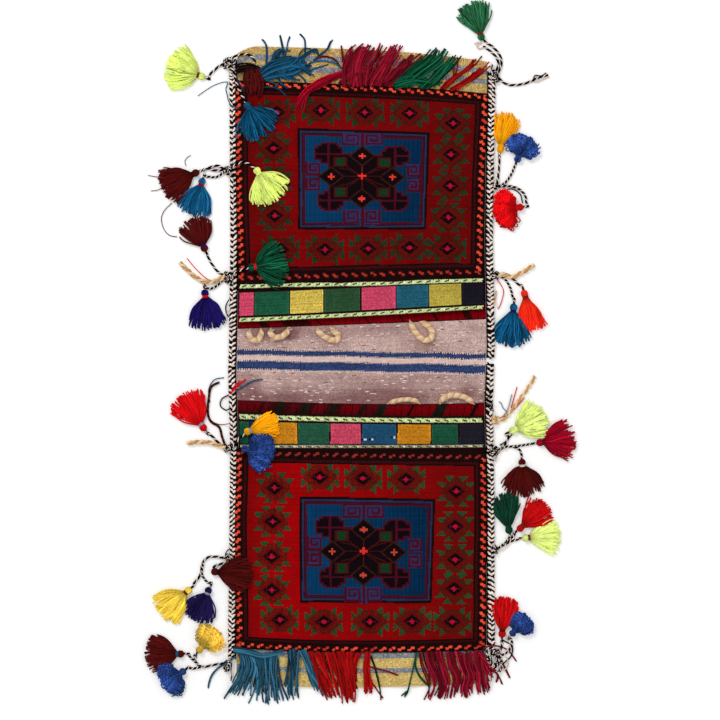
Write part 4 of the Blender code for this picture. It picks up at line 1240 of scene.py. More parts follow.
def make_knots():
    """Cord wound round the bag's edge where a bunch is tied on, with loose loops and yarn ends."""
    for number, (knot, (side, _, _)) in enumerate(KNOT_SHARES.items()):
        centre = knot_point(knot)
        random = np.random.default_rng(300 + number)
        piece = Piece()
        tints = TAN_TINTS if knot == "right_rope" else CORD_TINTS
        for k in range(2):
            t = np.linspace(0, 2 * np.pi, 30)
            tilt = random.random() * math.pi
            flat = np.array((math.cos(tilt), math.sin(tilt), 0))
            ring = np.cos(t)[:, None] * flat + np.sin(t)[:, None] * np.array((0.2, 0.1, 1.0))
            path = centre + unit(ring) * (KNOT_RADIUS - CORD_DIAMETER / 2 + 0.0004 * k)
            twisted(piece, path, CORD_DIAMETER, tints, TURN_LENGTHS[2])
        out, up, wide, high, loops = KNOT_SPANS.get(knot, (-1.5, 0, 3.0, 4.4, 3))
        for k in range(loops):
            t = np.linspace(0, 2 * np.pi, 46)
            start, turn = random.random(2) * 2 * np.pi
            size = noise_between(random, 0.45, 1.0, 2)
            plan_x = side * out * PIXEL + wide * size[0] * PIXEL * np.cos(t + start)
            plan_y = up * PIXEL + high * size[1] * PIXEL * np.sin(t + start + 0.7 * math.sin(turn))
            x, y = centre[0] + plan_x, centre[1] + plan_y
            ground = np.maximum(surface_heights(x, y), 0.0)
            ground = np.max([np.roll(ground, j) for j in range(-4, 5)], axis=0)
            ground = np.mean([np.roll(ground, j) for j in range(-3, 4)], axis=0)
            z = np.minimum(ground + 0.0022 + 0.0012 * (1 + np.sin(2 * t + turn)), 0.0158)
            twisted(piece, np.stack([x, y, z], -1), CORD_LOOK * 0.9, tints, TURN_LENGTHS[0])
        for yarn, radius, points in STRAYS.get(knot, ()):
            path = stray_path(points)
            path[:, 2] += radius + 0.0012
            add_tubes(piece, path[None], radius, 5, np.array(YARN[yarn]))
        name = "right_corner_tail" if knot == "right_corner" else f"{knot}_cord"
        dress(piece.build(f"{knot}_knot", CORD_FINISH), body_of(name))


make_knots()


# Side plaits

# How much of its width a plait takes up
BRAID_SHARE = 0.80
# Where the plaits end, by side and pouch: beyond these depths only frayed cords go on
BRAID_ENDS = {(-1, "upper"): 0.452, (1, "upper"): 0.448, (-1, "lower"): 0.456, (1, "lower"): 0.428}


def make_braid(name, node, pouch, side, near, far, bend=None):
    """Two rows of slanted stitches that meet in a chevron, black and white by turns."""
    piece = Piece()
    sign = POUCHES[pouch]["sign"]
    stop = min(far, BRAID_ENDS[side, pouch])
    count = max(2, int(round((stop - near) / STITCH_PITCH)))
    middle = side * (HALF_WIDTH - BRAID_WIDTH * BRAID_SHARE / 2)
    paths, tints, wide = [], [], []
    random = np.random.default_rng(len(name) + 3 * side)
    t = np.linspace(-1, 1, 6)
    for k in range(count):
        dark = k % 2 == 0
        for row in (-1, 1):
            depth = near + (k + 0.5 + 0.3 * row + 0.3 * (random.random() - 0.5)) * STITCH_PITCH
            lean = 0.0030 + 0.0006 * math.sin(depth * 37 + row)
            # on some stretches the right row leans as the left one does
            if row == side and math.sin(depth * 26 + 1.4 * side + 2.2 * sign) > 0.82:
                lean = -lean
            out = middle + row * BRAID_WIDTH * BRAID_SHARE * (0.245 + 0.265 * t)
            slant = depth + lean * t * sign + 0.0011 * np.sin(2.2 * t + random.random() * 6)
            x, y = drawn(pouch, out, slant)
            high = BRAID_THICKNESS * (0.62 + 0.26 * np.cos(t * 0.5 * np.pi + 0.5))
            paths.append(np.stack([x, y, high - 0.0012 - (0.0005 if dark else 0)], -1))
            tint = YARN["black"] if dark else YARN["white"]
            tints.append(np.array(tint) * (0.92 + 0.20 * random.random()))
            wide.append(0.84 + 0.42 * random.random())
    radius = STITCH_RADIUS * np.array((0.5, 0.95, 1.1, 1.1, 0.95, 0.5))[None] * np.array(wide)[:, None]
    add_tubes(piece, np.array(paths), radius, 6, np.array(tints))
    core_depths = np.linspace(near, stop, 3 + int((stop - near) / 0.006))
    add_core(piece, pouch, side * (HALF_WIDTH - BRAID_WIDTH / 2), core_depths)
    if far > stop + 0.004:
        for k, yarn in enumerate(("white", "black", "white")):
            depths = np.linspace(stop - 0.004, far - 0.004 * k, 12)
            x, y = drawn(pouch, middle + side * 0.0016 * (k - 1) + 0.0009 * np.sin(depths * 300 + k), depths)
            path = np.stack([x, y, np.full(12, 0.0058)], -1)
            add_tubes(piece, path[None], 0.0012, 5, np.array(YARN[yarn]))
    made = dress(piece.build(name, BRAID_FINISH), None if bend else "bridge", node)
    if bend:
        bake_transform(made)


def add_core(piece, pouch, middle, depths):
    """A flat dark core under the stitches."""
    half = BRAID_WIDTH / 2 - 0.0001
    across = np.array((-half, -half * 0.6, half * 0.6, half)) + middle
    x, y = drawn(pouch, across[None], depths[:, None])
    shape = np.array((0.4, 0.9, 0.9, 0.4)) * BRAID_THICKNESS * 0.56
    top = np.stack([x, y, np.broadcast_to(shape, y.shape)], -1)
    bottom = top.copy()
    bottom[..., 2] = 0.0004
    squares = (len(depths) - 1) * 3
    dark = np.tile(YARN["black"], (squares, 1))
    add_shell(piece, top, bottom, dark, dark, POUCHES[pouch]["sign"] > 0)


def make_braids():
    for side, word in ((-1, "left"), (1, "right")):
        for pouch in POUCHES:
            x, y_start = place(pouch, side * HALF_WIDTH, -CLOTH_BEND / 2)
            _, y_end = place(pouch, side * HALF_WIDTH, CLOTH_BEND / 2)
            make_braid(f"{word}_{pouch}_plait", f"{word}_{pouch}_braid", pouch, side, -CLOTH_BEND,
                       pouch_depths(pouch)[3], ((x, y_start, 0), (x, y_end, 0)))
        for pouch in POUCHES:
            make_braid(f"{word}_bridge_plait_{pouch}", f"{word}_bridge_braid", pouch, side,
                       -BRIDGE_LENGTH / 2, -CLOTH_BEND)


make_braids()


# Woven patterns

class Panel:
    """Colours laid over the squares of a woven panel, whose places are in photograph pixels."""

    def __init__(self, x, y, ground):
        self.x, self.y = x, y
        self.tint = np.empty((*x.shape, 3))
        self.tint[:] = ground

    def seen_as(self, x, y):
        """The same squares with other coordinates."""
        view = Panel.__new__(Panel)
        view.x, view.y, view.tint = x, y, self.tint
        return view

    def fill(self, mask, colour):
        self.tint[mask] = colour

    def box(self, x0, x1, y0, y1, colour):
        self.fill((self.x >= x0) & (self.x <= x1) & (self.y >= y0) & (self.y <= y1), colour)

    def diamond(self, cx, cy, rx, ry, colour):
        self.fill(np.abs(self.x - cx) / rx + np.abs(self.y - cy) / ry <= 1, colour)

    def dot(self, cx, cy, radius, colour):
        self.fill((self.x - cx) ** 2 + (self.y - cy) ** 2 <= radius**2, colour)

    def line(self, points, width, colour):
        for (x0, y0), (x1, y1) in zip(points, points[1:]):
            lx, ly = x1 - x0, y1 - y0
            size = max(lx * lx + ly * ly, 1e-9)
            t = np.clip(((self.x - x0) * lx + (self.y - y0) * ly) / size, 0, 1)
            near = (self.x - x0 - t * lx) ** 2 + (self.y - y0 - t * ly) ** 2 <= (width / 2) ** 2
            self.fill(near, colour)

    def plus(self, cx, cy, reach_x, reach_y, width, colour):
        self.box(cx - reach_x, cx + reach_x, cy - width / 2, cy + width / 2, colour)
        self.box(cx - width / 2, cx + width / 2, cy - reach_y, cy + reach_y, colour)


BLACK = srgb(28, 9, 10)
FLAME = srgb(250, 86, 56)
MAROON_LINE = srgb(66, 14, 18)
CRIMSON_LINE = srgb(76, 13, 31)
LEAVES = {"upper": srgb(26, 58, 34), "lower": srgb(28, 78, 44)}
PINK = srgb(190, 14, 46)
MAUVE = srgb(74, 16, 40)
HALO = {"upper": srgb(38, 32, 17), "lower": srgb(46, 34, 19)}
HALO_RED = {"upper": srgb(68, 20, 13), "lower": srgb(88, 21, 15)}
EMBER = srgb(98, 14, 10)
OLIVE = srgb(56, 26, 15)
STEEL = srgb(40, 50, 84)
COAL = srgb(17, 8, 13)
PLUM = srgb(34, 14, 34)
SLATE = srgb(42, 50, 96)
FIELD_BLUE = srgb(8, 54, 92)
DARK_RED_LINE = srgb(70, 17, 14)

# The leaves round a gul, for those that lie in rows and those that stand in columns
ROW_LEAVES = ((9.8, 10.8), (15.9, 5.5))
COLUMN_LEAVES = {"upper": ((6.6, 12.0), (13.4, 6.4)), "lower": ((7.2, 12.4), (14.2, 6.3))}
GULS = {
    "upper": {
        "rows": ((277, 113), (321, 111), (365, 113), (409.5, 114), (325, 250), (368, 249), (409.5, 248),
                 (447, 249), (281, 250)),
        "columns": ((453, 124), (451, 155), (450, 186.5), (448, 218), (274, 149), (275, 182), (275, 216)),
    },
    "lower": {
        "rows": ((320, 477), (363, 478), (406, 479), (324, 621), (370, 621), (412, 620.5), (280, 619),
                 (452, 621)),
        "columns": ((275, 487.6), (456, 491), (273, 521), (272, 556), (272, 589.5), (455, 526), (455, 559),
                    (454, 588)),
    },
}


def draw_gul(panel, cx, cy, turned, pouch):
    """A stepped diamond in a brown ground with leaves round it."""
    dx, dy = panel.x - cx, panel.y - cy
    wide, high = (16.5, 12.0) if turned else (15.0, 13.0)
    speck = np.mod(np.floor(panel.y / 0.86) * 3 + np.floor(panel.x / 0.86) * 5 + np.floor(panel.x / 3), 4)
    halo = (np.abs(dx) < wide) & (np.abs(dy) < high) & (np.abs(dx) / wide + np.abs(dy) / high < 1.34)
    ring = np.mod(np.floor((0.8 * np.abs(dx) + np.abs(dy)) / 1.25), 3)
    panel.fill(halo & (ring == 0), HALO[pouch])
    panel.fill(halo & (ring == 1) & (speck != 1), HALO_RED[pouch])
    panel.fill(halo & (ring == 2) & (speck < 2), EMBER)
    leaf = np.zeros(dx.shape, bool)
    for lx, ly in ROW_LEAVES if turned else COLUMN_LEAVES[pouch]:
        for sx, sy in ((-1, -1), (1, -1), (-1, 1), (1, 1)):
            ox, oy = dx - sx * lx, dy - sy * ly
            if turned:
                t = (sx * ox + 2.9) / 5.8
                leaf |= (t >= 0) & (t <= 1) & (np.abs(oy) <= 4.7 * t + 0.3)
            else:
                t = (sy * oy + 2.8) / 5.6
                leaf |= (t >= 0) & (t <= 1) & (np.abs(ox) <= 4.9 * t + 0.4)
    panel.fill(leaf, LEAVES[pouch])
    hatch = np.mod(np.floor((np.abs(dx) - np.abs(dy)) / 1.1), 3) == 0
    panel.fill(leaf & hatch & (speck != 0), HALO_RED[pouch])
    panel.diamond(cx, cy, 12.2, 9.6, EMBER)
    panel.diamond(cx, cy, 8.6, 6.9, COAL)
    for ox in (-4.6, 4.6):
        panel.box(cx + ox - 1.0, cx + ox + 1.0, cy - 0.9, cy + 0.9, MAUVE)
    panel.plus(cx, cy, 2.7, 2.5, 2.0, PINK)


def draw_key(panel, cx, cy, half_width, half_height, mirror):
    """A squared spiral."""
    panel.box(cx - half_width, cx + half_width, cy - half_height, cy + half_height, SLATE)
    shape = ((-1, -1), (-1, 0.9), (0.95, 0.9), (0.95, -0.75), (-0.45, -0.75), (-0.45, 0.25), (0.4, 0.25),
             (0.4, -0.2))
    points = [(cx + mirror * sx * (half_width - 0.8), cy + sy * (half_height - 0.8)) for sx, sy in shape]
    panel.line(points, 2.0, CRIMSON_LINE)


def draw_claw(panel, cx, cy, sx, sy, inner, outer, high, low):
    """Three dark lobes round crimson bars. It reaches outwards by sx and sy from the crossing."""
    u, v = (panel.x - cx) * sx, (panel.y - cy) * sy
    boxes = ((-inner, outer, 0, high - 4.3), (-inner + 3, outer - 3, 0, high - 1.9),
             (-inner + 5.4, outer - 6, 0, high), (0, outer, -low + 3, 3), (0, outer - 5.8, -low, 0))
    for shrink, colour in ((0.0, CRIMSON_LINE), (1.7, COAL)):
        for u0, u1, v0, v1 in boxes:
            keep = shrink if v0 == 0 else 0
            inside = (u >= u0 + shrink) & (u <= u1 - shrink)
            panel.fill(inside & (v >= v0 + shrink - keep) & (v <= v1 - shrink), colour)
    panel.fill((np.abs(u) < 1.1) & (v > -low) & (v < high), CRIMSON_LINE)
    panel.fill((np.abs(v) < 1.0) & (u > -inner) & (u < outer), CRIMSON_LINE)


def draw_medallion(panel, frame_lines, cross):
    """The blue field with its star, in the upper face's pixels."""
    x, y = panel.x, panel.y
    left, right, top, bottom = frame_lines
    down, across = (y - 129) / 101, (x - 298) / 131
    d = np.minimum(x - left[0] - (left[1] - left[0]) * down, right[0] + (right[1] - right[0]) * down - x)
    d = np.minimum(d, y - top[0] - (top[1] - top[0]) * across)
    d = np.minimum(d, bottom[0] + (bottom[1] - bottom[0]) * across - y)
    for inset, colour in ((0, BLACK), (2.3, STEEL), (4.2, PLUM), (5.0, CRIMSON_LINE), (7.3, FIELD_BLUE)):
        panel.fill(d >= inset, colour)
    glow = 1.22 - 0.62 * np.clip(across, 0, 1) + 0.20 * np.sin(x * 1.9) * np.sin(x * 0.43 + 1)
    inside = d >= 7.3
    panel.tint[inside] *= glow[inside][:, None]
    for cx, cy, rx, ry, mirror in ((350.6, 140.1, 9.0, 5.9, 1), (373.9, 140.1, 8.6, 5.9, -1),
                                   (351, 217.2, 7.8, 7.2, 1), (372.8, 217.2, 7.5, 7.2, -1),
                                   (313, 169.2, 7.2, 6.6, 1), (313, 184.6, 7.2, 6.6, 1),
                                   (413.5, 171, 6.8, 6.2, -1), (413.5, 186.3, 6.8, 6.4, -1)):
        draw_key(panel, cx, cy, rx, ry, mirror)
    for x0, x1, y0, y1 in ((361, 364, 133, 150), (361, 364, 207, 227), (305, 321, 175.4, 176.8),
                           (305, 321, 178, 179), (404, 421, 177.4, 178.6)):
        panel.box(x0, x1, y0, y1, CRIMSON_LINE)
    for x0, x1 in ((359.6, 360.9), (364.1, 365.4)):
        panel.box(x0, x1, 134, 148, SLATE)
        panel.box(x0, x1, 209, 226, SLATE)
    draw_claw(panel, 328.6, 154.6, -1, -1, 14.4, 14.4, 11.4, 9.6)
    draw_claw(panel, 395.0, 156.4, 1, -1, 14.0, 14.4, 10.0, 10.6)
    draw_claw(panel, 329.4, 200.6, -1, 1, 14.6, 11.8, 11.0, 9.6)
    draw_claw(panel, 394.6, 201.0, 1, 1, 14.6, 14.0, 11.0, 9.2)
    panel.box(329.8, 394, 155.6, 200, COAL)
    panel.diamond(362.2, 177.4, 42, 29, COAL)
    for points in (((329, 156), (329, 168)), ((329.6, 187), (329.6, 200)), ((394.6, 157), (394.6, 169)),
                   ((394.6, 187), (394.6, 200)), ((342, 155), (352, 155)), ((373, 156), (382, 156)),
                   ((344, 200.6), (352, 200.6)), ((373, 200.6), (380, 200.6))):
        panel.line(points, 1.9, CRIMSON_LINE)
    for cx, cy in ((340.3, 162.3), (384.3, 163.0), (340.5, 192.6), (383.6, 192.9)):
        panel.box(cx - 6.9, cx + 6.9, cy - 5.2, cy + 5.2, DARK_RED_LINE)
        panel.box(cx - 4.6, cx + 4.6, cy - 3.5, cy + 3.5, srgb(18, 56, 32))
    for points in (((342, 176.6), (383, 176.8)), ((347.6, 167.4), (377, 187.6)), ((347.6, 187), (377, 168)),
                   ((340, 168.6), (350, 170.4), (358, 174.6)), ((384, 169), (375, 171), (366.5, 175)),
                   ((340, 186), (350, 184), (358, 178.8)), ((384, 186.4), (375, 183), (366.5, 178.6))):
        panel.line(points, 1.0, DARK_RED_LINE)
    for points in (((362.2, 164), (362.2, 173)), ((362.2, 180), (362.2, 192))):
        panel.line(points, 1.4, srgb(104, 22, 20))
    for cx, cy in ((362.3, 156.6), (361.9, 199.2), (331.1, 177.0), (392.3, 177.8)):
        panel.diamond(cx, cy, 13.4, 10.8, OLIVE)
        panel.diamond(cx, cy, 11.2, 8.8, COAL)
        panel.plus(cx, cy, 3.6, 2.9, 1.9, cross)
    panel.plus(362.2, 176.6, 4.2, 3.2, 1.9, srgb(246, 52, 44))


# How far the near row of motifs lies in from the face's edge, and how much more at the right, in pixels
NEAR_ROWS = {"upper": (6.6, -1.3, srgb(178, 52, 40)), "lower": (3.9, 2.2, srgb(150, 50, 44))}


def draw_border(panel, sides, pouch, seed):
    """The frame of the face: dark lines with a row of slanted motifs between them."""
    inset, lean, dull_colour = NEAR_ROWS[pouch]
    sides[3] = sides[3] - inset - lean * (panel.x - MIDDLE_PX) / 122
    distances = np.stack(sides)
    side = distances.argmin(axis=0)
    d = distances.min(axis=0)
    panel.fill(d <= 13.0, BLACK)
    dots = np.mod(np.floor(panel.x / 1.1) + np.floor(panel.y / 1.1), 3) > 0
    panel.fill((d > 9.0) & (d <= 11.4) & dots, MAROON_LINE)
    upright = side < 2
    pitch = np.where(upright, 7.35, 9.45)
    along = np.where(upright, panel.y, panel.x)
    count = np.floor(along / pitch)
    local = np.mod(along, pitch) - pitch / 2 - 0.35 * np.sin(count * 7.3 + side * 2.1 + seed)
    off = d - 3.8 - 0.35 * np.sin(count * 3.7 + seed)
    flip = np.where((side == 1) | (side == 3), -1, 1)
    ux = np.where(upright, off * flip, local)
    uy = np.where(upright, local, off * flip)
    # on the left the motif rises to the right, and elsewhere it falls
    uy = np.where(side == 0, -uy, uy)
    small = np.where(side == 3, 0.84, 1.0)
    half_x, half_y = small * np.where(upright, 1.2, 1.75), small * np.where(upright, 1.15, 0.95)
    wide, high = small * np.where(upright, 1.35, 1.5), small * np.where(upright, 1.2, 1.1)
    aside, above = np.abs(np.abs(ux) - half_x), np.abs(np.abs(uy) - half_y)
    slanted = ux * uy > -0.4
    blobs = (aside < wide) & (above < high) & slanted
    motif = blobs & (d > 0.4) & (d < 7.0)
    dull = np.sin(count * 5.1 + seed * 1.7) > 0.6
    panel.fill(motif, FLAME)
    panel.fill(motif & dull, srgb(214, 60, 40))
    panel.fill(motif & (side == 3), dull_colour)
    fringe = (aside < wide + 0.6) & (above < high + 0.6) & slanted & ~blobs
    panel.fill(fringe & (d > 0.4) & (d < 7.0), srgb(96, 16, 12))


def weave_noise(shape, seed, rows=0.07, knots=0.06):
    """How much brighter each row and each knot of a woven panel is than its colour."""
    random = np.random.default_rng(seed)
    row = 1 + rows * (random.random((shape[0], 1)) * 2 - 1)
    return row * (1 + knots * (random.random(shape) * 2 - 1))


# The left, right, top and bottom of each medallion, where its sides begin and where they end
FRAMES = {
    "upper": ((297.8, 298.3), (429.6, 425.8), (128.6, 133.2), (230, 230)),
    "lower": ((298.4, 298.6), (433.6, 429.8), (125.3, 127.8), (224.8, 225.6)),
}
# Where the two sides of each face lie in the photograph: height, left and right, in pixels
FACE_EDGES = {
    "upper": ((80, 234.6, 488.2), (120, 234.6, 487.8), (143, 235.3, 486.2), (190, 235.6, 484.3),
              (232, 236.8, 483.5),
              (257, 237.8, 483.2), (284, 237.8, 482)),
    "lower": ((445, 236, 486), (486, 235.2, 486.9), (516, 234, 487.2), (541, 234, 487), (565, 234.8, 486.1),
              (614, 235.7, 486.4), (652, 235.4, 485)),
}


def face_tints(pouch, px, py):
    """The pattern of a pouch's knotted face."""
    # the field is brighter at the left, an uneven dye, and painted shade darkens it near the left border
    if pouch == "upper":
        glow = np.clip(1.0 - (px - 300) / 260, 0.3, 1.0) * np.clip((px - 238) / 40, 0.3, 1)
        dark, bright = np.array(srgb(92, 8, 7)), np.array(srgb(126, 6, 9))
    else:
        glow = np.clip(1.0 - (px - 290) / 210, 0.1, 1.0) * np.clip((px - 238) / 30, 0.4, 1)
        dark, bright = np.array(srgb(106, 8, 8)), np.array(srgb(162, 4, 8))
    panel = Panel(px, py, dark + (bright - dark) * np.clip(glow, 0, 1)[..., None])
    for cx, cy in GULS[pouch]["rows"]:
        draw_gul(panel, cx, cy, True, pouch)
    for cx, cy in GULS[pouch]["columns"]:
        draw_gul(panel, cx, cy, False, pouch)
    if pouch == "upper":
        draw_medallion(panel, FRAMES[pouch], srgb(236, 62, 44))
    else:
        # the lower medallion is the upper one moved down and a little longer
        moved = panel.seen_as(362.2 + (px - 363.6), 176.7 + (py - 550.6) / 1.066)
        draw_medallion(moved, FRAMES[pouch], srgb(200, 70, 50))
    return panel


def make_face(pouch):
    """The knotted face: one square for each knot, crowned over the pouch, closed below."""
    _, near, far, _ = pouch_depths(pouch)
    half = CLOTH_HALF - FACE_INSET
    columns = 2 * int(round(half / PILE_KNOT))
    rows = 2 * int(round((far - near) / PILE_KNOT / 2))
    across = np.linspace(-half, half, columns + 1)[None]
    depth = np.linspace(near + GAP, far, rows + 1)[:, None]
    x, y = drawn(pouch, across, depth)
    heights, lefts, rights = np.array(FACE_EDGES[pouch]).T
    left, right = np.interp(pixel_y(y), heights, lefts), np.interp(pixel_y(y), heights, rights)
    x = at_pixel(left + (right - left) * (across + half) / (2 * half), 0)[0]
    random = np.random.default_rng(7 if pouch == "upper" else 8)
    edge = np.minimum(np.minimum(half - np.abs(across), far - depth), 0.004) / 0.004
    roll = np.sqrt(np.clip(edge, 0, 1))
    height = crown_at(pouch, across, depth)
    puff = 0.0012 * np.sin(across * 31 + 1.3) * np.sin(depth * 27 + 0.4)
    puff = puff + 0.0008 * np.sin(across * 63 + depth * 48)
    puff = puff + 0.0005 * np.sin(depth * 150 + 3 * np.sin(across * 19))
    top_z = FACE_BASE + height + FACE_THICKNESS * (0.45 + 0.55 * roll)
    top_z = top_z + puff * np.clip(edge, 0, 1) * height / FACE_CROWN
    top_z = top_z + 0.00016 * (random.random(y.shape) - 0.5)
    top = np.stack([x, y, top_z], -1)
    bottom = np.stack([x, y, np.broadcast_to(FACE_BASE + height, y.shape)], -1)[::2, ::2]
    px, py = pixel_x(x), pixel_y(y)
    cx, cy = middles(px), middles(py)
    panel = face_tints(pouch, cx, cy)
    # the border keeps to the panel's own edges
    down = (depth[:-1] + depth[1:]) / 2 / PIXEL
    left, right = (px[:-1, :1] + px[1:, :1]) / 2, (px[:-1, -1:] + px[1:, -1:]) / 2
    ends = [np.broadcast_to(gap, cx.shape) for gap in (far / PIXEL - down, down - near / PIXEL)]
    draw_border(panel, [cx - left, right - cx, *ends], pouch, 1.0 if pouch == "upper" else 2.0)
    tint = panel.tint * weave_noise(cx.shape, 11, 0.09, 0.15)[..., None]
    piece = Piece()
    lining = np.tile(srgb(120, 60, 50), (rows * columns // 4, 1))
    add_shell(piece, top, bottom, tint.reshape(-1, 3), lining, POUCHES[pouch]["sign"] > 0)
    made = dress(piece.build(f"{pouch}_pile_face", PILE_FINISH), f"{pouch}_pouch", f"{pouch}_face")


for pouch_name in POUCHES:
    make_face(pouch_name)


# Mouth bands

# The blocks of each band: left, right and colour
BAND_BLOCKS = {
    "upper": ((225, 254.3, srgb(212, 72, 104)), (254.3, 289.8, srgb(30, 88, 62)),
              (289.8, 323.8, srgb(216, 188, 84)),
              (323.8, 360.8, srgb(44, 78, 50)), (360.8, 396, srgb(204, 70, 100)),
              (396, 428.5, srgb(34, 92, 112)),
              (428.5, 461.5, srgb(188, 168, 70)), (461.5, 500, srgb(26, 25, 34))),
    "lower": ((225, 249.5, srgb(28, 84, 62)), (249.5, 271.5, srgb(28, 44, 88)),
              (271.5, 297.7, srgb(206, 134, 30)),
              (297.7, 330, srgb(38, 86, 64)), (330, 361.5, srgb(204, 72, 98)),
              (361.5, 397, srgb(32, 76, 108)),
              (397, 431, srgb(200, 130, 28)), (431, 458.5, srgb(28, 82, 60)),
              (458.5, 500, srgb(32, 30, 40))),
}
# The two ends of the blocks, in pixels from the fold line
BLOCK_ENDS = {"upper": (13.5, 37.6), "lower": (17.4, 39.6)}
PALE_LIME = srgb(218, 236, 166)
# Each twine: its middle in pixels from the fold line, half width, lean in pixels and colour
TWINES = {
    "upper": {"edge": (9.6, 0.0036, 0, PALE_LIME), "face": (41.0, 0.0034, 2.8, PALE_LIME)},
    "lower": {"edge": (13.0, 0.0046, 0, PALE_LIME), "face": (42.4, 0.0024, 0, srgb(176, 168, 130))},
}


def band_tints(pouch, px, q):
    """The blocks of a mouth band. q is the depth from the fold line in pixels."""
    start, end = BLOCK_ENDS[pouch]
    panel = Panel(px, q, srgb(34, 14, 14))
    random = np.random.default_rng(71)
    for x0, x1, colour in BAND_BLOCKS[pouch]:
        inside = (px > x0 + 0.6) & (px < x1 - 0.6) & (q > start) & (q < end)
        panel.fill(inside, np.array(colour) * 1.04)
        edge = inside & ((px > x1 - 1.9) | (px < x0 + 1.9) | (q < start + 1.0))
        panel.tint[edge] = panel.tint[edge] * 1.22 + 0.004
    panel.tint[random.random(px.shape) < 0.10] *= 0.72
    panel.tint[random.random(px.shape) < 0.08] *= 1.3
    if pouch == "lower":
        panel.fill((q > end + 0.5) & (q < end + 1.9), srgb(120, 150, 180))
        for cx, cy in ((365.2, 34.6), (372.2, 34.6), (394.3, 32)):
            panel.dot(cx - 2.4, cy, 1.2, srgb(16, 16, 22))
            panel.dot(cx, cy, 1.3, srgb(222, 226, 220))
    return panel


def make_band(pouch):
    """The mouth's edge, from its free side to the face."""
    mouth, near, _, _ = pouch_depths(pouch)
    half = CLOTH_HALF - FACE_INSET
    columns = 2 * int(round(half / CLOTH_ROW))
    rows = 2 * int(round((near - GAP - mouth) / CLOTH_ROW / 2))
    across = np.linspace(-half, half, columns + 1)[None]
    depth = np.linspace(mouth, near - GAP, rows + 1)[:, None]
    x, y = drawn(pouch, across, depth)
    edge = np.minimum(np.minimum(half - np.abs(across), depth - mouth), 0.003) / 0.003
    side = rounded(half - np.abs(across), FACE_SIDE_ROUND)
    wave = 0.0009 * np.sin(across * 48 + 2) * np.sin(depth * 60) + 0.0006 * np.sin(across * 90 + depth * 40)
    base = FACE_BASE + FACE_CROWN * MOUTH_CROWN_SHARE * (0.25 + 0.75 * side)
    thick = 0.0028
    top_z = base + thick * np.sqrt(np.clip(edge, 0.02, 1)) + wave * side + 0.0008
    top = np.stack([x, y, np.broadcast_to(top_z, y.shape)], -1)
    bottom = np.stack([x, y, np.broadcast_to(base + wave * side, y.shape)], -1)[::2, ::2]
    px = pixel_x(x)
    cx = middles(px)
    down = np.broadcast_to((depth[:-1] + depth[1:]) / 2 / PIXEL, cx.shape)
    tint = band_tints(pouch, cx, down).tint * weave_noise(cx.shape, 21, 0.12, 0.24)[..., None]
    piece = Piece()
    lining = np.tile(srgb(96, 70, 60), (rows * columns // 4, 1))
    add_shell(piece, top, bottom, tint.reshape(-1, 3), lining, POUCHES[pouch]["sign"] > 0)
    made = dress(piece.build(f"{pouch}_mouth_cloth", WEAVE_FINISH), None, f"{pouch}_mouth_band")
    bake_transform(made)


def make_twine(pouch, row):
    """A pale twine of slanted stitches with small dark marks, sewn along the band."""
    q, wide, lean, ground = TWINES[pouch][row]
    half = CLOTH_HALF - FACE_INSET - 0.0012
    count = int(2 * half / TWINE_PITCH)
    t = np.linspace(-1, 1, 9)
    paths, tints, radii = [], [], []
    random = np.random.default_rng(int(q * 10))
    for k in range(count):
        across = -half + (k + 0.5) * TWINE_PITCH
        spread = wide * (1 + 0.16 * (random.random() - 0.5))
        middle = q + lean * min(1, max(0, (-across / PIXEL + 20) / 100))
        x, y = drawn(pouch, across + 0.0011 * t, middle * PIXEL + spread * t)
        side = rounded(half + 0.0015 - np.abs(across), FACE_SIDE_ROUND)
        base = FACE_BASE + FACE_CROWN * MOUTH_CROWN_SHARE * (0.25 + 0.75 * side) + 0.0040
        paths.append(np.stack([x, y, base + 0.0008 * np.cos(t * np.pi / 2)], -1))
        shade = 0.78 + 0.36 * random.random()
        tint = np.tile(np.array(ground) * shade, (9, 1))
        if random.random() < 0.28:
            tint[3:6] = np.array(srgb(250, 250, 226)) * shade
        # a dark dash along the middle, now a little above it and now a little below
        mark = k % 9
        if 2 <= mark <= 5:
            low = 3 if mark < 4 else 4
            tint[low : low + 2 + mark % 2] = srgb(26, 22, 14)
        if random.random() < 0.3:
            tint[random.integers(0, 2) * 7 :][:2] = srgb(80, 70, 32)
        tint[0] = tint[8] = srgb(60, 22, 14)
        tints.append(tint)
        radii.append(np.array((0.8, 1, 1, 1.05, 1.1, 1.05, 1, 1, 0.8)) * (0.00108 + 0.0002 * random.random()))
    piece = Piece()
    add_tubes(piece, np.array(paths), np.array(radii), 5, np.array(tints))
    dress(piece.build(f"{pouch}_{row}_twine", BRAID_FINISH), f"{pouch}_mouth")


for pouch_name in POUCHES:
    make_band(pouch_name)
    for twine_row in ("edge", "face"):
        make_twine(pouch_name, twine_row)


# The flat woven cloth under it all

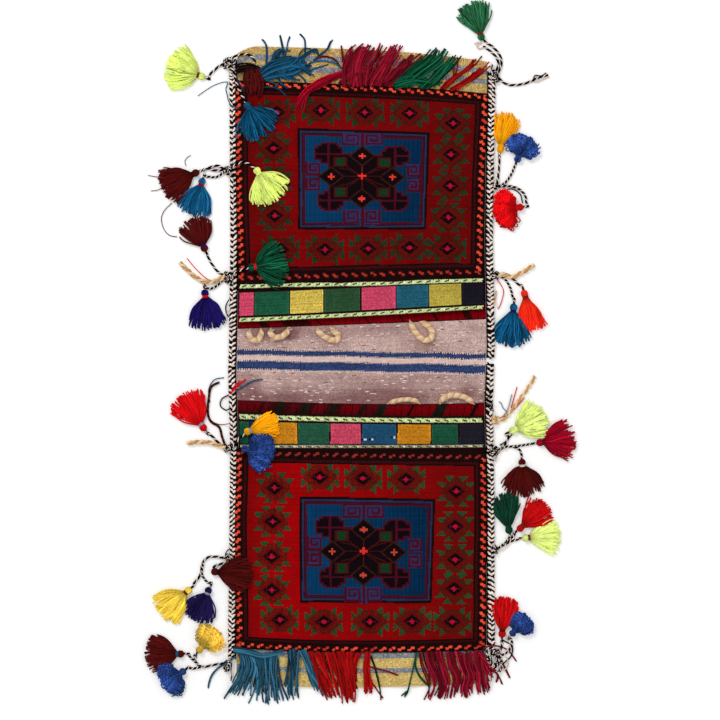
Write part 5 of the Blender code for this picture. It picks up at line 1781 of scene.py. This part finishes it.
# Patches of another colour along each red strip: left, right and colour
STRIP_PATCHES = {
    "upper": ((235, 241, srgb(70, 10, 14)), (262, 270, srgb(46, 12, 12)), (285, 312, srgb(58, 8, 10)),
              (320, 322, srgb(60, 6, 9)),
              (368, 370, srgb(66, 4, 8)), (403, 405, srgb(60, 5, 8)), (436, 439, srgb(46, 12, 12)),
              (466, 473, srgb(52, 12, 12))),
    "lower": ((238, 262, srgb(96, 8, 16)), (266, 272, srgb(90, 12, 16)), (279, 286, srgb(24, 26, 18)),
              (292, 300, srgb(84, 12, 18)),
              (304, 311, srgb(24, 28, 20)), (316, 328, srgb(96, 10, 18)), (332, 338, srgb(26, 24, 18)),
              (344, 362, srgb(106, 4, 14)),
              (363, 367, srgb(26, 22, 16)), (367, 379, srgb(88, 8, 14)), (380, 388, srgb(26, 28, 20)),
              (388, 412, srgb(118, 3, 13)),
              (412, 415, srgb(30, 10, 10)), (415, 437, srgb(122, 3, 13)), (437, 448, srgb(30, 26, 20)),
              (448, 475, srgb(122, 3, 14)),
              (475, 479, srgb(34, 10, 10)), (479, 490, srgb(124, 3, 14))),
}


# Each flap: its ground, pale and deep threads, and its grey stripes in pixels past the face's end
FLAPS = {
    "upper": (srgb(204, 168, 96), srgb(226, 202, 146), srgb(178, 134, 70), ((9.6, 15.4), (20.6, 26.4))),
    "lower": (srgb(222, 190, 112), srgb(236, 212, 140), srgb(192, 152, 84), ((-2, 6.4), (15.6, 20.8))),
}
STRIPE_REPEAT = 34


def cloth_tints(px, py, pouch, q, under=False):
    """The plain cloth by its depth q from a fold line, in pixels: bridge, strip, hidden part and flap.

    Under the bag the flap's stripes run on to the red strip."""
    mouth, _, far, _ = (value / PIXEL for value in pouch_depths(pouch))
    random = np.random.default_rng(31 if pouch == "upper" else 32)
    fleck = random.random(px.shape)
    patch = np.sin(px / 17 + 1) * np.sin(py / 11) + 0.6 * np.sin(px / 41 + py / 23)
    low = np.clip((py - 345) / 50, 0, 1) - 0.45 * np.clip((px - 400) / 90, 0, 1)
    light, dark = np.array(srgb(214, 182, 174)), np.array(srgb(156, 118, 116))
    blend = 0.12 + 0.55 * low + 0.20 * patch
    # painted shade beside the two strips and round the loops, a dark stain by the right lower loop, and a
    # darker patch at the lower left
    for cx, cy, rx, ry in ((330, 328, 150, 8), (345, 399, 160, 8), (278, 334, 22, 12), (330, 338, 22, 10),
                           (424, 344, 20, 9), (468, 391, 9, 6), (250, 392, 14, 14), (292, 336, 8, 5)):
        blend = blend + 0.5 * np.exp(-(((px - cx) / rx) ** 2 + ((py - cy) / ry) ** 2) ** 1.5)
    # a lighter patch at the lower left
    blend = blend - 0.35 * np.exp(-(((px - 268) / 10) ** 2 + ((py - 384) / 12) ** 2))
    blend = np.clip(blend, -0.1, 1.15)[..., None]
    panel = Panel(px, py, light * (1 - blend) + dark * blend)
    panel.tint[fleck > 0.90] *= 1.24
    panel.tint[fleck < 0.12] *= 0.70
    # painted highlights: short pale dashes along the rows, as glints on the threads, and a few short dark
    # dashes
    for share, colour in ((0.011, srgb(236, 212, 204)), (0.003, srgb(124, 88, 88))):
        starts = random.random(px.shape) < share
        longer = np.roll(starts & (fleck > 0.5), 3, 1)
        panel.fill(starts | np.roll(starts, 1, 1) | np.roll(starts, 2, 1) | longer, colour)
    level = py - (px - 345) * 0.0175
    level = level + 0.35 * np.sin(px / 13)
    blue, cream = srgb(48, 62, 106), srgb(232, 202, 194)
    panel.fill((level > 356.6) & (level < 362.6), cream)
    panel.fill((level > 371.2) & (level < 372.6), srgb(218, 190, 184))
    for start, stop in ((351.4, 356.6), (362.6, 371.0)):
        panel.fill((level > start) & (level < stop), blue)
        panel.fill((level > start) & (level < stop) & (fleck > 0.72), srgb(60, 84, 130))
        teeth = np.mod(np.floor(px / 1.15), 2) == 0
        edge = (np.abs(level - start) < 0.6) | (np.abs(level - stop) < 0.6)
        panel.fill(edge & teeth, cream)
        panel.fill(edge & ~teeth, srgb(40, 46, 84))
    strip = (q > -0.2) & (q < mouth + 8)
    panel.fill(strip, srgb(126, 2, 14) if pouch == "upper" else srgb(58, 12, 12))
    slant = px + 0.7 * q
    for x0, x1, colour in STRIP_PATCHES[pouch]:
        panel.fill(strip & (slant > x0) & (slant < x1), colour)
    hairs = np.sin(px * 2.7 + 0.5 * q) + np.sin(px * 0.9 + 2)
    panel.tint[strip & (hairs < -1.25)] *= 0.45
    panel.tint[strip & (fleck > 0.9)] *= 1.3
    panel.fill((q > -0.8) & (q < 0.3), srgb(60, 14, 14))
    panel.fill(q > mouth + 8, srgb(34, 12, 12))
    flap = q > (mouth + 8 if under else far - 6)
    ground, pale, deep, stripes = FLAPS[pouch]
    panel.fill(flap, ground)
    panel.fill(flap & (fleck > 0.74), pale)
    panel.fill(flap & (fleck < 0.16), deep)
    for k in range(7 if under else 1):
        for start, stop in stripes:
            grey = flap & (q > far + start - STRIPE_REPEAT * k) & (q < far + stop - STRIPE_REPEAT * k)
            panel.fill(grey, srgb(128, 132, 140))
            panel.fill(grey & (fleck > 0.7), srgb(176, 178, 178))
    return panel


def make_cloth(pouch):
    """The back cloth from the flap's end to a little past the fold line, where it bends."""
    _, near, far, end = pouch_depths(pouch)
    hem = far - 0.01
    spans = ((-CLOTH_BEND, near, CLOTH_ROW), (near, hem, HIDDEN_ROW), (hem, end, CLOTH_ROW))
    depth = np.concatenate([np.arange(a, b, step) for a, b, step in spans] + [[end]])[:, None]
    across = np.linspace(-CLOTH_HALF, CLOTH_HALF, CLOTH_COLUMNS + 1)[None]
    ripple = 0.0012 * np.sin(across * 70 + depth * 30) * np.clip((depth - far) / 0.02, 0, 1)
    wave = np.where(depth > far, ripple, 0)
    x, y = drawn(pouch, across, depth)
    z = CLOTH_THICKNESS - 0.0003 + np.maximum(wave, -0.0008)
    top = np.stack([x, y, z], -1)
    bottom = np.stack([x, y, np.maximum(z - CLOTH_THICKNESS + 0.0005, 0.0001)], -1)
    px, py = pixel_x(x), pixel_y(y)
    cx, cy = middles(px), middles(py)
    q = np.broadcast_to((depth[:-1] + depth[1:]) / 2 / PIXEL, cx.shape)
    noise = weave_noise(cx.shape, 41, 0.09, 0.14)[..., None]
    tints = [cloth_tints(cx, cy, pouch, q, under).tint * noise for under in (False, True)]
    piece = Piece()
    add_shell(piece, top, bottom, *(tint.reshape(-1, 3) for tint in tints), POUCHES[pouch]["sign"] > 0)
    made = dress(piece.build(f"{pouch}_back_cloth", WEAVE_FINISH), None, f"{pouch}_back")
    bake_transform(made)


def make_bridge_cloth():
    """The cloth between the two bends."""
    rows = 60
    across = np.linspace(-CLOTH_HALF, CLOTH_HALF, CLOTH_COLUMNS + 1)
    (low_x, low), (high_x, high) = (drawn(pouch, across, -CLOTH_BEND) for pouch in ("lower", "upper"))
    share = np.linspace(0, 1, rows + 1)[:, None]
    y = low[None] * (1 - share) + high[None] * share
    x = low_x[None] * (1 - share) + high_x[None] * share
    z = np.full(y.shape, CLOTH_THICKNESS - 0.0003)
    top = np.stack([x, y, z], -1)
    bottom = np.stack([x, y, z - CLOTH_THICKNESS + 0.0005], -1)
    px, py = pixel_x(x), pixel_y(y)
    cx, cy = middles(px), middles(py)
    q = np.full(cx.shape, -9.0)
    tint = cloth_tints(cx, cy, "upper", q).tint * weave_noise(cx.shape, 43, 0.09, 0.14)[..., None]
    piece = Piece()
    add_shell(piece, top, bottom, tint.reshape(-1, 3), tint.reshape(-1, 3), True)
    made = dress(piece.build("bridge_cloth", WEAVE_FINISH), "bridge", "bridge")


for pouch_name in POUCHES:
    make_cloth(pouch_name)
make_bridge_cloth()


# Fringes

# Each lock of loose yarn: its colour, how many strands, how thick, and the strands that it lies
# between, in photograph pixels. A lock of one guide is a single strand or a few close together.
LOCKS = {
    "upper": (
        ("wine", 59, 1.61, ((343, 86), (344, 70), (347, 58), (352, 49), (360, 43)),
         ((352, 86), (353, 70), (356, 58), (359, 52), (365, 47)),
         ((360, 86), (361, 68), (365, 56), (369, 50), (372, 43)),
         ((368, 86), (370, 68), (376, 56), (379, 50), (382, 44))),
        ("wine", 40, 1.61, ((366, 86), (374, 70), (381, 58), (387, 50), (389, 47)),
         ((374, 86), (382, 70), (388, 59), (393, 52), (396, 45)),
         ((382, 86), (389, 70), (394, 60), (398, 53), (401, 48))),
        ("wine", 22, 1.61, ((384, 85), (393, 74), (401, 65), (407, 59), (412, 55)),
         ((390, 86), (399, 75), (408, 65), (415, 58), (421, 53))),
        ("wine", 26, 1.67, ((340, 84), (348, 80), (358, 76), (368, 78), (380, 84)),
         ((344, 78), (352, 70), (362, 66), (372, 68), (390, 80))),
        ("wine", 4, 1.57, ((343, 62), (342.5, 56), (342, 51), (341, 46))),
        ("wine", 5, 1.34, ((316, 59), (324, 56.5), (331, 58), (336, 61), (340, 67))),
        ("crimson", 16, 1.40, ((348, 70), (334, 73), (322, 77), (311, 85), (302, 96), (297, 115)),
         ((346, 74), (335, 80), (322, 88), (310, 93), (300, 98), (290, 103))),
        ("green", 40, 1.61, ((396, 84), (404, 74), (415, 66), (425, 57), (432, 47)),
         ((402, 86), (414, 74), (426, 66), (435, 58), (441, 48)),
         ((410, 87), (422, 78), (434, 68), (442, 60), (446, 50))),
        ("green", 30, 1.55, ((418, 88), (430, 80), (440, 70), (446, 62), (451, 55)),
         ((430, 89), (438, 82), (447, 73), (453, 66), (457, 58))),
        ("green", 22, 1.55, ((394, 82), (402, 77), (414, 75), (426, 79), (436, 88)),
         ((396, 88), (406, 85), (418, 84), (430, 86), (440, 82))),
        ("brick", 14, 1.51, ((440, 89), (448, 80), (460, 73), (469, 65), (474, 54)),
         ((446, 89), (455, 81), (465, 74), (472, 68), (477, 60))),
        ("brick", 9, 1.51, ((450, 90), (460, 83), (470, 76), (478, 71), (484, 66)),
         ((456, 90), (464, 84), (474, 77), (482, 70), (491, 62))),
        ("brick", 4, 1.01, ((446, 84), (451, 74), (454, 66), (456, 59)),
         ((452, 84), (456, 74), (459, 66), (459, 57))),
        ("sea", 40, 1.55, ((258, 74), (268, 64), (280, 59), (292, 57), (303, 60)),
         ((262, 78), (276, 72), (292, 68), (304, 66), (312, 68)),
         ((268, 80), (282, 79), (296, 78), (306, 72), (312, 60))),
        ("sea", 44, 1.55, ((272, 66), (276, 70), (282, 76), (290, 80), (300, 80)),
         ((300, 58), (296, 64), (288, 68), (280, 74), (276, 80)),
         ((312, 76), (304, 70), (300, 64), (304, 56), (312, 52))),
        ("sea", 4, 1.34, ((266, 70), (266.5, 60), (267, 51), (266, 44), (262.5, 39.5))),
        ("sea", 2, 1.46, ((284, 58), (283, 50), (281.5, 42), (280, 35.5))),
        ("sea", 2, 1.46, ((284, 58), (286.5, 50), (288, 42), (290.5, 36))),
        ("sea", 3, 1.34, ((305, 55), (305, 46), (304.5, 39), (300, 34))),
        ("sea", 4, 1.34, ((314, 61), (322, 54), (328, 49), (330, 43), (332.5, 40))),
        ("sea", 8, 1.34, ((273, 63), (276, 54), (280, 50), (285, 50)),
         ((276, 64), (279, 56), (283, 52), (288, 52))),
        ("sea", 9, 1.34, ((297, 59), (304, 52), (312, 48), (319, 49), (320, 54)),
         ((300, 61), (307, 56), (314, 52), (318, 54), (314, 60))),
        ("sea", 5, 1.34, ((310, 63), (320, 61), (330, 62), (338, 65), (342, 69))),
        ("sea", 3, 1.23, ((310, 71), (318, 68), (328, 65))),
        ("sea", 3, 1.34, ((258, 75), (266, 80), (279, 86))),
        ("sea", 3, 1.34, ((269, 69), (275, 76), (284, 87))),
        ("sea", 3, 1.34, ((270, 63), (276, 72), (280, 82), (287, 89))),
        ("sea", 2, 1.23, ((262, 88), (271, 87.5), (279, 90), (286.5, 97))),
        ("sea", 2, 1.23, ((288, 69), (288, 74), (291, 79))),
        ("sea", 3, 1.23, ((295, 74), (302, 77), (306.5, 84))),
        ("sea", 4, 1.23, ((236, 77), (238, 82), (241, 87), (245, 92))),
        ("maroon", 30, 1.67, ((244, 70), (243.5, 80), (244, 90), (246, 97)),
         ((260, 70), (261, 80), (261, 90), (259, 98))),
        ("dark", 20, 1.12, ((236, 66), (243, 64), (251, 65), (259, 70)),
         ((238, 74), (244, 72), (252, 70), (258, 73))),
    ),
    "lower": (
        ("mist", 17, 1.61, ((234, 648), (248, 650), (262, 654), (276, 652), (288, 649)),
         ((237, 652), (250, 656), (262, 660), (272, 659), (284, 656))),
        ("mist", 29, 1.67, ((239, 653), (241, 664), (237, 678), (231, 688), (226, 698)),
         ((247, 655), (250, 666), (245, 680), (239, 690), (234, 696)),
         ((252, 656), (256, 668), (252, 682), (250, 692), (248, 703))),
        ("mist", 22, 1.67, ((255, 657), (259, 668), (258, 682), (256, 694), (253, 705)),
         ((262, 657), (263, 668), (262, 680), (262, 690))),
        ("mist", 26, 1.67, ((264, 655), (265, 670), (266, 684), (266, 694), (268, 703)),
         ((270, 655), (270, 670), (272, 684), (272, 695), (273, 704)),
         ((277, 655), (276, 668), (278, 680), (279, 692), (281, 703))),
        ("mist", 5, 1.46, ((278, 658), (279, 672), (282, 686), (288, 700))),
        ("mist", 9, 1.46, ((245, 655), (252, 660), (259, 668), (263, 680), (263, 690))),
        ("mist", 22, 1.51, ((288, 650), (290, 662), (290, 676), (289, 688), (290, 699)),
         ((296, 650), (296, 664), (295, 678), (293, 688), (291, 698))),
        ("mist", 10, 1.46, ((299, 650), (298, 664), (297, 678), (297, 690), (299, 698))),
        ("mist", 12, 1.46, ((300, 650), (306, 662), (311, 674), (317, 684), (323, 695)),
         ((304, 650), (309, 662), (313, 673), (318, 684), (322, 694))),
        ("mist", 4, 1.46, ((236, 656), (226, 663), (217, 669), (211, 677), (208, 688))),
        ("brick", 79, 1.67, ((308, 652), (313, 665), (319, 678), (322, 688), (326, 700)),
         ((318, 652), (323, 668), (328, 682), (331, 690), (334, 699)),
         ((328, 652), (333, 668), (338, 682), (341, 692), (343, 703)),
         ((340, 652), (345, 668), (349, 682), (351, 692), (351, 703)),
         ((352, 652), (354, 668), (354, 682), (354, 692), (354, 700))),
        ("brick", 29, 1.61, ((332, 652), (336, 662), (342, 672), (346, 682), (346, 694)),
         ((364, 652), (358, 662), (354, 674), (354, 684), (352, 692))),
        ("brick", 14, 1.57, ((364, 652), (363, 665), (364, 678), (365, 688), (367, 700)),
         ((369, 652), (367, 665), (367, 678), (368, 690), (368, 699))),
        ("brick", 4, 1.46, ((370, 653), (369, 668), (371, 680), (376, 688), (383, 698))),
        ("pine", 3, 1.34, ((371, 656), (375, 668), (378, 680), (380, 690), (381, 701))),
        ("wine", 3, 1.34, ((366, 666), (376, 668), (387, 671), (398, 675))),
        ("green", 5, 1.46, ((417, 652), (415.5, 660), (416, 668), (421, 678), (430, 687))),
        ("pine", 3, 1.34, ((415, 658), (412, 672), (409, 685), (407.5, 692), (404, 697))),
        ("pine", 2, 1.12, ((408, 690), (405, 693), (401, 696))),
        ("wine", 106, 1.61, ((420, 652), (422, 664), (427, 676), (430, 686), (427, 700)),
         ((430, 652), (433, 664), (438, 677), (440, 688), (435, 698)),
         ((442, 652), (444, 664), (448, 677), (448, 688), (447, 699)),
         ((454, 652), (457, 664), (461, 676), (458, 686), (456, 695)),
         ((466, 652), (467, 664), (470, 676), (467, 686), (469, 698)),
         ((476, 652), (477, 664), (480, 675), (480, 684), (481, 694)),
         ((484, 652), (484, 662), (486, 672), (486, 682), (489, 693))),
        ("wine", 16, 1.46, ((478, 652), (484, 662), (488, 670), (494, 673)),
         ((482, 652), (486, 664), (486, 676), (488, 684))),
        ("wine", 3, 1.46, ((483, 648), (491, 645.5), (502, 647), (510, 652), (517, 662))),
        ("wine", 3, 1.46, ((494, 652), (500, 659), (505, 668), (510, 678))),
        ("wine", 3, 1.46, ((488, 666), (494, 671), (498, 675), (496, 683))),
        ("wine", 2, 1.46, ((494, 670), (498, 675), (502, 684))),
    ),
}


def lock_paths(random, strands, guides, stations=11):
    """Strands between the guides of a lock, in pixels."""
    lines = []
    for guide in guides:
        points = smooth_route([(x, y) for x, y in guide], 1.0)
        steps = np.concatenate([[0], np.cumsum(np.linalg.norm(np.diff(points, axis=0), axis=1))])
        at = np.linspace(0, steps[-1], stations)
        lines.append(np.stack([np.interp(at, steps, points[:, k]) for k in (0, 1)], -1))
    lines = np.array(lines)
    single = len(lines) == 1
    where = random.random(strands) * (len(lines) - 1)
    first = np.minimum(where.astype(int), max(len(lines) - 2, 0))
    share = (where - first)[:, None, None]
    paths = lines[first] * (1 - share) + lines[np.minimum(first + 1, len(lines) - 1)] * share
    # each strand stops where it likes, sways, and strays from its neighbours
    s = np.linspace(0, 1, stations)[None]
    reach = noise_between(random, 0.93 if single else 0.62, 1.03, strands, 1)
    cut = s * reach
    index = np.clip(cut * (stations - 1), 0, stations - 1.001)
    low = index.astype(int)
    part = (index - low)[..., None]
    rows = np.arange(strands)[:, None]
    paths = paths[rows, low] * (1 - part) + paths[rows, low + 1] * part
    loose = 0.35 if single else 1.7
    phase, pace = noise_between(random, 0, 6.3, strands, 1), noise_between(random, 2.2, 5.0, strands, 1)
    sway = loose * np.sin(phase + pace * s) * (0.35 + 0.65 * s)
    drift_x = noise_between(random, -loose, loose, strands, 1)
    drift_y = noise_between(random, -loose, loose, strands, 1) * 0.6
    stray = 0 if single else noise_between(random, -1, 1, strands, 1) ** 3 * 6.0 * s
    return paths + np.stack([sway + drift_x + stray, 0.5 * sway[:, ::-1] + drift_y], -1)


def make_fringe(pouch, seed):
    """Loose yarn lying on the end flap and out over its edge."""
    random = np.random.default_rng(seed)
    piece = Piece()
    for yarn, strands, thick, *guides in LOCKS[pouch]:
        plan = lock_paths(random, strands, guides)
        x, y = at_pixel(plan[..., 0], plan[..., 1])
        s = np.linspace(0, 1, x.shape[1])[None]
        layer = noise_between(random, 0, min(0.0065, 0.0006 * strands), strands, 1)
        radius = FRINGE_YARN * thick
        z = ground_under(x, y) + radius + layer * (0.5 + 0.6 * np.sin(np.pi * np.minimum(1, s * 1.1)))
        # painted light: the strands that lie higher are lighter, and those under them darker
        tint = strand_shades(random, yarn, strands) * (0.72 + 80 * layer)
        add_tubes(piece, np.stack([x, y, z], -1), radius, 4, tint)
    dress(piece.build(f"{pouch}_loose_fringe", YARN_FINISH), f"{pouch}_pouch", f"{pouch}_fringe")


# The yarn of the tuft on the bridge, in photograph pixels
TUFT = (
    ("red", ((231, 393), (236, 388), (241, 383), (245.5, 379))),
    ("red", ((232, 390), (236, 385), (240, 381))),
    ("azure", ((235.7, 391), (244, 386), (253, 381), (262.5, 379.4))),
)


def make_tuft():
    """Loose red and blue yarn on the bridge beside the left plait."""
    piece = Piece()
    random = np.random.default_rng(61)
    for yarn, guide in TUFT:
        plan = lock_paths(random, 4, (guide,))
        x, y = at_pixel(plan[..., 0], plan[..., 1])
        z = surface_heights(x, y) + 0.0014 + noise_between(random, 0, 0.0012, 4, 1)
        add_tubes(piece, np.stack([x, y, z], -1), TUFT_YARN, 4, np.array(YARN[yarn]))
    dress(piece.build("bridge_tuft", YARN_FINISH), "bridge")


make_tuft()
make_fringe("upper", 51)
make_fringe("lower", 52)
